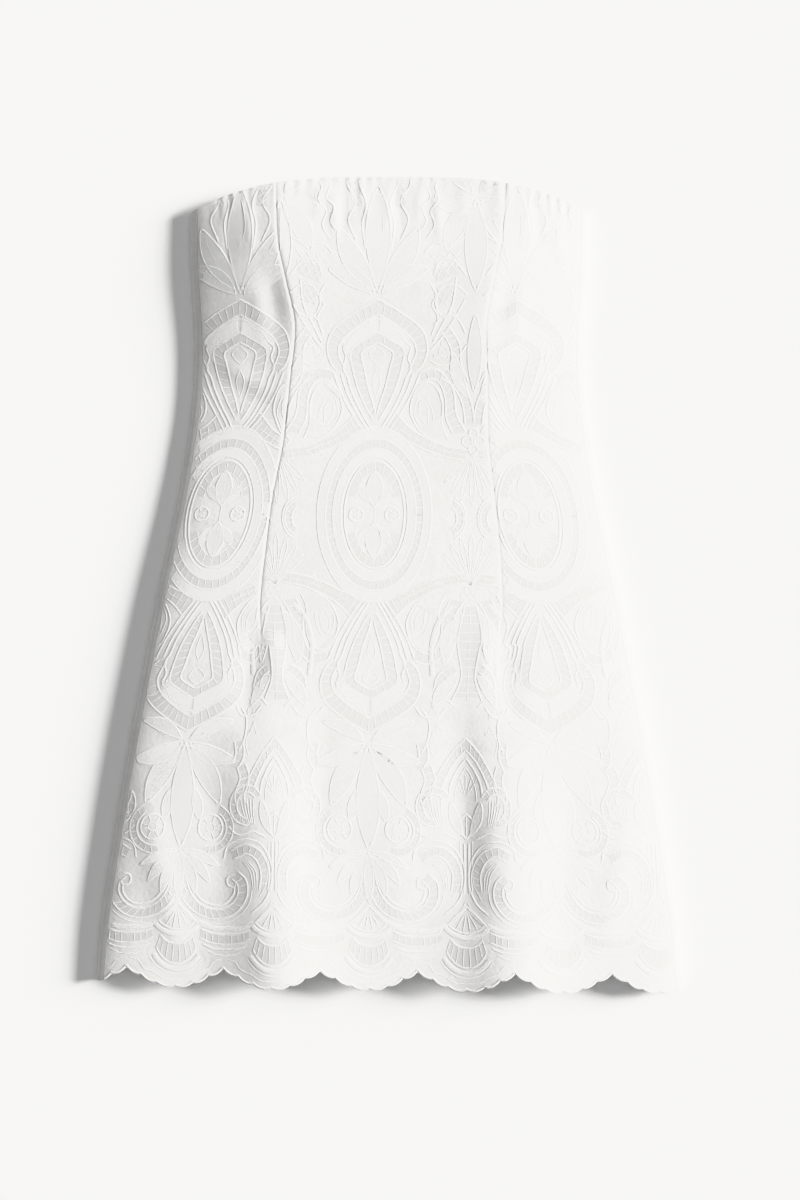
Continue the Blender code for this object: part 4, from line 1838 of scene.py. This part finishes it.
@dataclass
class FrontPanel:
    """The front: side panel, dart, middle panel, dart, side panel."""

    form: DressForm
    side_columns: int = 50
    dart_columns: int = 4
    middle_columns: int = 68
    rows: int = 244
    row_closeness: float = 0.55

    @property
    def columns(self) -> int:
        """Number of columns.

        Returns:
            The number.
        """
        return 2 * self.side_columns + 2 * self.dart_columns + self.middle_columns

    def column_x(self, column: Array, drop: Array) -> Array:
        """Distance from the middle of a column, counted from the left side seam.

        Args:
            column: column of the grid, counted from the left side seam.
            drop: distance below the top of the neckline.

        Returns:
            The distance of each point.
        """
        edge = self.form.half_width(drop) - SEAM_INSET
        left = self.form.shaping.read("left_x", drop)
        right = self.form.shaping.read("right_x", drop)
        half = self.form.dart_half_width
        marks = np.cumsum([0, self.side_columns, self.dart_columns, self.middle_columns, self.dart_columns,
                           self.side_columns])
        places = (-edge, left - half, left + half, right - half, right + half, edge)
        x = np.zeros_like(column)
        for index in range(len(marks) - 1):
            part = np.clip((column - marks[index]) / (marks[index + 1] - marks[index]), 0.0, 1.0)
            here = (column >= marks[index]) & (column <= marks[index + 1])
            x = np.where(here, places[index] + (places[index + 1] - places[index]) * part, x)
        return x

    def row_drop(self, share: Array) -> Array:
        """Drop of a row before the neckline and hem are shaped; rows are closer at both.

        Args:
            share: share of the way down the grid.

        Returns:
            The drop of each row.
        """
        return HEM_DROP * (share - self.row_closeness / (2 * math.pi) * np.sin(2 * math.pi * share))

    def place(self, across: Array, down: Array) -> tuple[Points, Points]:
        """Places grid points on the front.

        Args:
            across: share of the way across the grid.
            down: share of the way down the grid.

        Returns:
            The points, and their places on the flat cloth.
        """
        column = across * self.columns
        row = self.row_drop(down)
        x = self.column_x(column, row)
        half = self.form.half_width(row)
        drop = self.form.shaped_drop(x, row, self.form.neck_dip(x, half))
        x = self.column_x(column, drop)
        points = np.stack([x, NECK_Y - drop, self.form.front_height(x, drop)], axis=-1)
        return points, np.stack([x, drop], axis=-1)

    def build(self) -> bpy.types.Object:
        """Makes the front.

        Returns:
            The panel's object.
        """
        return ClothPanel("front_cloth", self.columns, self.rows, self.place).build()


@dataclass
class BackPanel:
    """One half of the back, flat on the floor and round the side fold up to the side seam."""

    form: DressForm
    side: float
    columns: int = 76
    rows: int = 170
    lift: float = 0.75
    recess_height: float = 4.0
    recess_flat: float = 12.5
    recess_reach: float = 30.0
    recess_full_drop: float = 72.0
    recess_end_drop: float = 105.0
    wall: float = 0.75
    zip_open: float = 1.5
    zip_open_drop: float = 48.0
    zip_open_reach: float = 12.0
    fold_start: float = 0.84
    top_start: float = 0.94
    fold_ease: float = 6.0
    row_closeness: float = 0.6

    def recess(self, x: Array, drop: Array) -> Array:
        """How far the cloth stands off the floor over the zip's slider and pull.

        Args:
            x: distance from the middle of the dress.
            drop: distance below the top of the neckline.

        Returns:
            The height over the floor.
        """
        across = ease((self.recess_reach - np.abs(x)) / (self.recess_reach - self.recess_flat))
        along = ease((self.recess_end_drop - drop) / (self.recess_end_drop - self.recess_full_drop))
        return self.recess_height * across * along

    def zip_edge(self, drop: Array) -> Array:
        """Distance of the cloth's edge from the middle.

        Args:
            drop: distance below the top of the neckline.

        Returns:
            The distance.
        """
        closed = SEAM_GAP / 2
        wider = self.zip_open - closed
        return closed + wider * (1.0 - ease((drop - self.zip_open_drop) / self.zip_open_reach))

    def section(self, share: Array, drop: Array) -> tuple[Array, Array]:
        """Place across and up of the outer face, at a share of the way from the zip to the side seam.

        Args:
            share: share of the way from the zip to the side seam.
            drop: distance below the top of the neckline.

        Returns:
            The distance from the middle and the height of each point.
        """
        half = self.form.half_width(drop)
        radius = self.form.sections.read("fold_radius", drop)
        flat = half - radius
        edge = self.zip_edge(drop)
        fold_start = self.fold_start
        top_start = self.top_start
        on_flat = np.clip(share / fold_start, 0.0, 1.0)
        x = edge + (flat - edge) * on_flat
        height = np.maximum(self.recess(x, drop), self.lift * ease((flat - x) / self.fold_ease))
        turn = np.clip((share - fold_start) / (top_start - fold_start), 0.0, 1.0) * math.pi / 2
        folded = share > fold_start
        x = np.where(folded, flat + radius * np.sin(turn), x)
        height = np.where(folded, radius * (1.0 - np.cos(turn)), height)
        rest = np.clip((share - top_start) / (1.0 - top_start), 0.0, 1.0)
        on_top = share > top_start
        x = np.where(on_top, half - (SEAM_INSET - SEAM_GAP) * rest**1.6, x)
        return x, np.where(on_top, self.form.plain_height(x, drop), height)

    def place(self, across: Array, down: Array) -> tuple[Points, Points]:
        """Places grid points on the half back.

        Args:
            across: share of the way across the grid.
            down: share of the way down the grid.

        Returns:
            The points, and their places on the flat cloth.
        """
        share = across if self.side > 0 else 1.0 - across
        row = HEM_DROP * (down - self.row_closeness / (2 * math.pi) * np.sin(2 * math.pi * down))
        x, height = self.section(share, row)
        half = self.form.half_width(row)
        dip = np.where(share > self.top_start, self.form.neck_dip(x, half), self.form.neck_arch)
        drop = self.form.shaped_drop(self.side * x, row, dip)
        x, height = self.section(share, drop)
        points = np.stack([self.side * x, NECK_Y - drop, height], axis=-1)
        run = np.where(share > self.fold_start, x + 2.0 * height, x)
        return points, np.stack([self.side * run, drop], axis=-1)

    def build(self, name: str) -> bpy.types.Object:
        """Makes the half back.

        Args:
            name: the piece's name.

        Returns:
            The panel's object.
        """
        return ClothPanel(name, self.columns, self.rows, self.place, self.wall, faces_down=True).build()


@dataclass
class Trim:
    """Sewing on the dress's edges: the worked hem edge and a row of stitches under the neckline."""

    form: DressForm
    embroiderer: Embroiderer

    def hem_edge(self) -> MeshStore:
        """The close stitched edge that follows the lobes.

        Returns:
            The hem's edge.
        """
        store = MeshStore()
        limit = float(self.form.half_width(np.array(755.0))) - SEAM_INSET - 0.5
        x = np.linspace(-limit, limit, 420)
        drop = self.form.hem_edge(x) - 1.15
        self.embroiderer.lay_on_dress(store, x, drop, np.array([0, len(x)]), Stitch.EDGE)
        return store

    def neck_stitches(self, store: MeshStore) -> None:
        """A row of short stitches under the neckline.

        Args:
            store: the mesh that takes the stitches.
        """
        limit = float(self.form.half_width(np.array(5.0))) - SEAM_INSET - 3.0
        middles = np.arange(-limit, limit, 3.4)
        x = (middles[:, None] + (-1.1, 0.0, 1.1)).ravel()
        drop = self.form.neck_dip(x, self.form.half_width(np.full(len(x), 5.0))) + 2.4
        self.embroiderer.lay_on_dress(store, x, drop, np.arange(0, len(x) + 1, 3), Stitch.FINE)


@dataclass
class Studio:
    """Floor, lights and camera."""

    camera_x: float = 9.87
    camera_y: float = -14.0
    camera_height: float = 3.15
    lens: float = 100.0
    floor_tone: float = 0.97
    key_elevation: float = 19.0
    key_azimuth: float = 12.0
    key_angle: float = 20.0
    key_strength: float = 10.0
    fill_power: float = 20.0
    sky: float = 0.26

    def floor(self) -> None:
        """A plain pale surface under the dress."""
        deselect_all()
        bpy.ops.mesh.primitive_plane_add(size=8.0, location=(0.0, 0.0, -0.0003))
        floor = bpy.context.object
        floor.name = "floor"
        made = Nodes("floor_paint")
        made.shade(Roughness=0.9)
        place = made.node("ShaderNodeTexCoord")
        grain = made.node("ShaderNodeTexNoise", Scale=3.0, Detail=2.0)
        made.link(place, "Object", grain, "Vector")
        tone = made.node("ShaderNodeMapRange", To_Min=self.floor_tone - 0.005, To_Max=self.floor_tone)
        made.link(grain, 0, tone, "Value")
        made.link(tone, 0, made.shader, "Base Color")
        floor.data.materials.append(made.material)

    def key(self) -> None:
        """A low, soft and even light from the right."""
        lamp = bpy.data.lights.new("key", "SUN")
        lamp.energy = self.key_strength
        lamp.angle = math.radians(self.key_angle)
        lamp.color = (1.0, 0.992, 0.975)
        key = bpy.data.objects.new("key", lamp)
        bpy.context.scene.collection.objects.link(key)
        key.location = (2.0, 0.5, 1.0)
        key.rotation_euler = (0.0, math.radians(90.0 - self.key_elevation), math.radians(self.key_azimuth))

    def fill(self) -> None:
        """A wide light over the dress."""
        lamp = bpy.data.lights.new("fill", "AREA")
        lamp.size = 3.0
        lamp.energy = self.fill_power
        fill = bpy.data.objects.new("fill", lamp)
        bpy.context.scene.collection.objects.link(fill)
        fill.location = (0.0, 0.0, 3.6)

    def camera(self) -> None:
        """The camera straight above, with the neckline at the top."""
        settings = bpy.data.cameras.new("camera")
        settings.lens = self.lens
        settings.clip_end = 20.0
        camera = bpy.data.objects.new("camera", settings)
        bpy.context.scene.collection.objects.link(camera)
        camera.location = (self.camera_x * MM, self.camera_y * MM, self.camera_height)
        bpy.context.scene.camera = camera

    def build(self) -> None:
        """Sets up the whole stage."""
        self.floor()
        self.key()
        self.fill()
        world = bpy.data.worlds.new("studio")
        world.use_nodes = True
        back = world.node_tree.nodes["Background"]
        back.inputs["Color"].default_value = (1.0, 1.0, 1.0, 1.0)
        back.inputs["Strength"].default_value = self.sky
        scene = bpy.context.scene
        scene.world = world
        scene.view_settings.view_transform = "Khronos PBR Neutral"
        self.camera()


@dataclass
class Dress:
    """The whole dress: cloth, embroidery, sewing and zip."""

    form: DressForm = field(default_factory=DressForm)
    body: str = "dress"

    def finish_piece(self, piece: bpy.types.Object, material: bpy.types.Material) -> None:
        """Gives a piece its material and its body, and reports it.

        Args:
            piece: the piece's object.
            material: its material.
        """
        piece.data.materials.clear()
        piece.data.materials.append(material)
        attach(piece, self.body)
        log.info("%s: %d faces", piece.name, len(piece.data.polygons))

    def build(self) -> None:
        """Makes every piece."""
        cotton = CottonFinish().material("cotton_ground")
        thread = ThreadFinish().material("embroidery_thread")
        net_and_painted_shade = NetAndPaintedShadeFinish().material("ladder_net_and_painted_shade")
        motif = Drawing().motif()
        strokes = motif.strokes
        pattern = Pattern(self.form)
        front_worker = Embroiderer(pattern, Ground(self.form, Side.FRONT), relief=0.8)
        back_worker = Embroiderer(pattern, Ground(self.form, Side.BACK), coarse=1.8, relief=1.6)

        front = FrontPanel(self.form).build()
        self.finish_piece(front, cotton)
        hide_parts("front")
        for name, chosen in (
            ("front_cords", (Stitch.CORD,)),
            ("front_fine_lines", (Stitch.FINE,)),
            ("front_tapes", (Stitch.TAPE,)),
            ("front_bars", (Stitch.BAR,)),
        ):
            piece = front_worker.lay(strokes, chosen, name)
            self.finish_piece(piece, thread)
        for name, fill, material in (
            # The ladder nets are darker sheets: painted shade of the recessed cells.
            ("front_ladder_nets_painted_shade", Fill.NET, net_and_painted_shade),
            ("front_satin", Fill.SATIN, thread),
        ):
            piece = front_worker.lay_webs(motif.webs, fill, name)
            self.finish_piece(piece, material)
        trim = Trim(self.form, front_worker)
        store = trim.hem_edge()
        trim.neck_stitches(store)
        edge = store.to_object("front_edge_stitches")
        self.finish_piece(edge, thread)

        for name, side in (("left", -1.0), ("right", 1.0)):
            back = BackPanel(self.form, side).build(f"back_{name}_cloth")
            self.finish_piece(back, cotton)
            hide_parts(f"back_{name}")
        on_back = back_worker.lay(strokes, (Stitch.CORD, Stitch.TAPE, Stitch.BAR), "back_embroidery")
        self.finish_piece(on_back, thread)

        self.dress_zip()

    def dress_zip(self) -> None:
        """Gives the zip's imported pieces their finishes."""
        tape = TapeFinish().material("zip_tape_weave")
        metal = MetalFinish().material("zip_enamel")
        for name, material in (
            ("zip_tape_left", tape), ("zip_tape_right", tape), ("zip_slider", metal), ("zip_pull", metal),
        ):
            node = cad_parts[name]
            if node.material_slots:
                for slot in node.material_slots:
                    slot.material = material
            else:
                node.data.materials.append(material)


def main() -> None:
    """Builds the dress and the studio."""
    logging.basicConfig(level=logging.INFO, format="%(message)s")
    Studio().build()
    Dress().build()


if __name__ == "__main__":
    main()
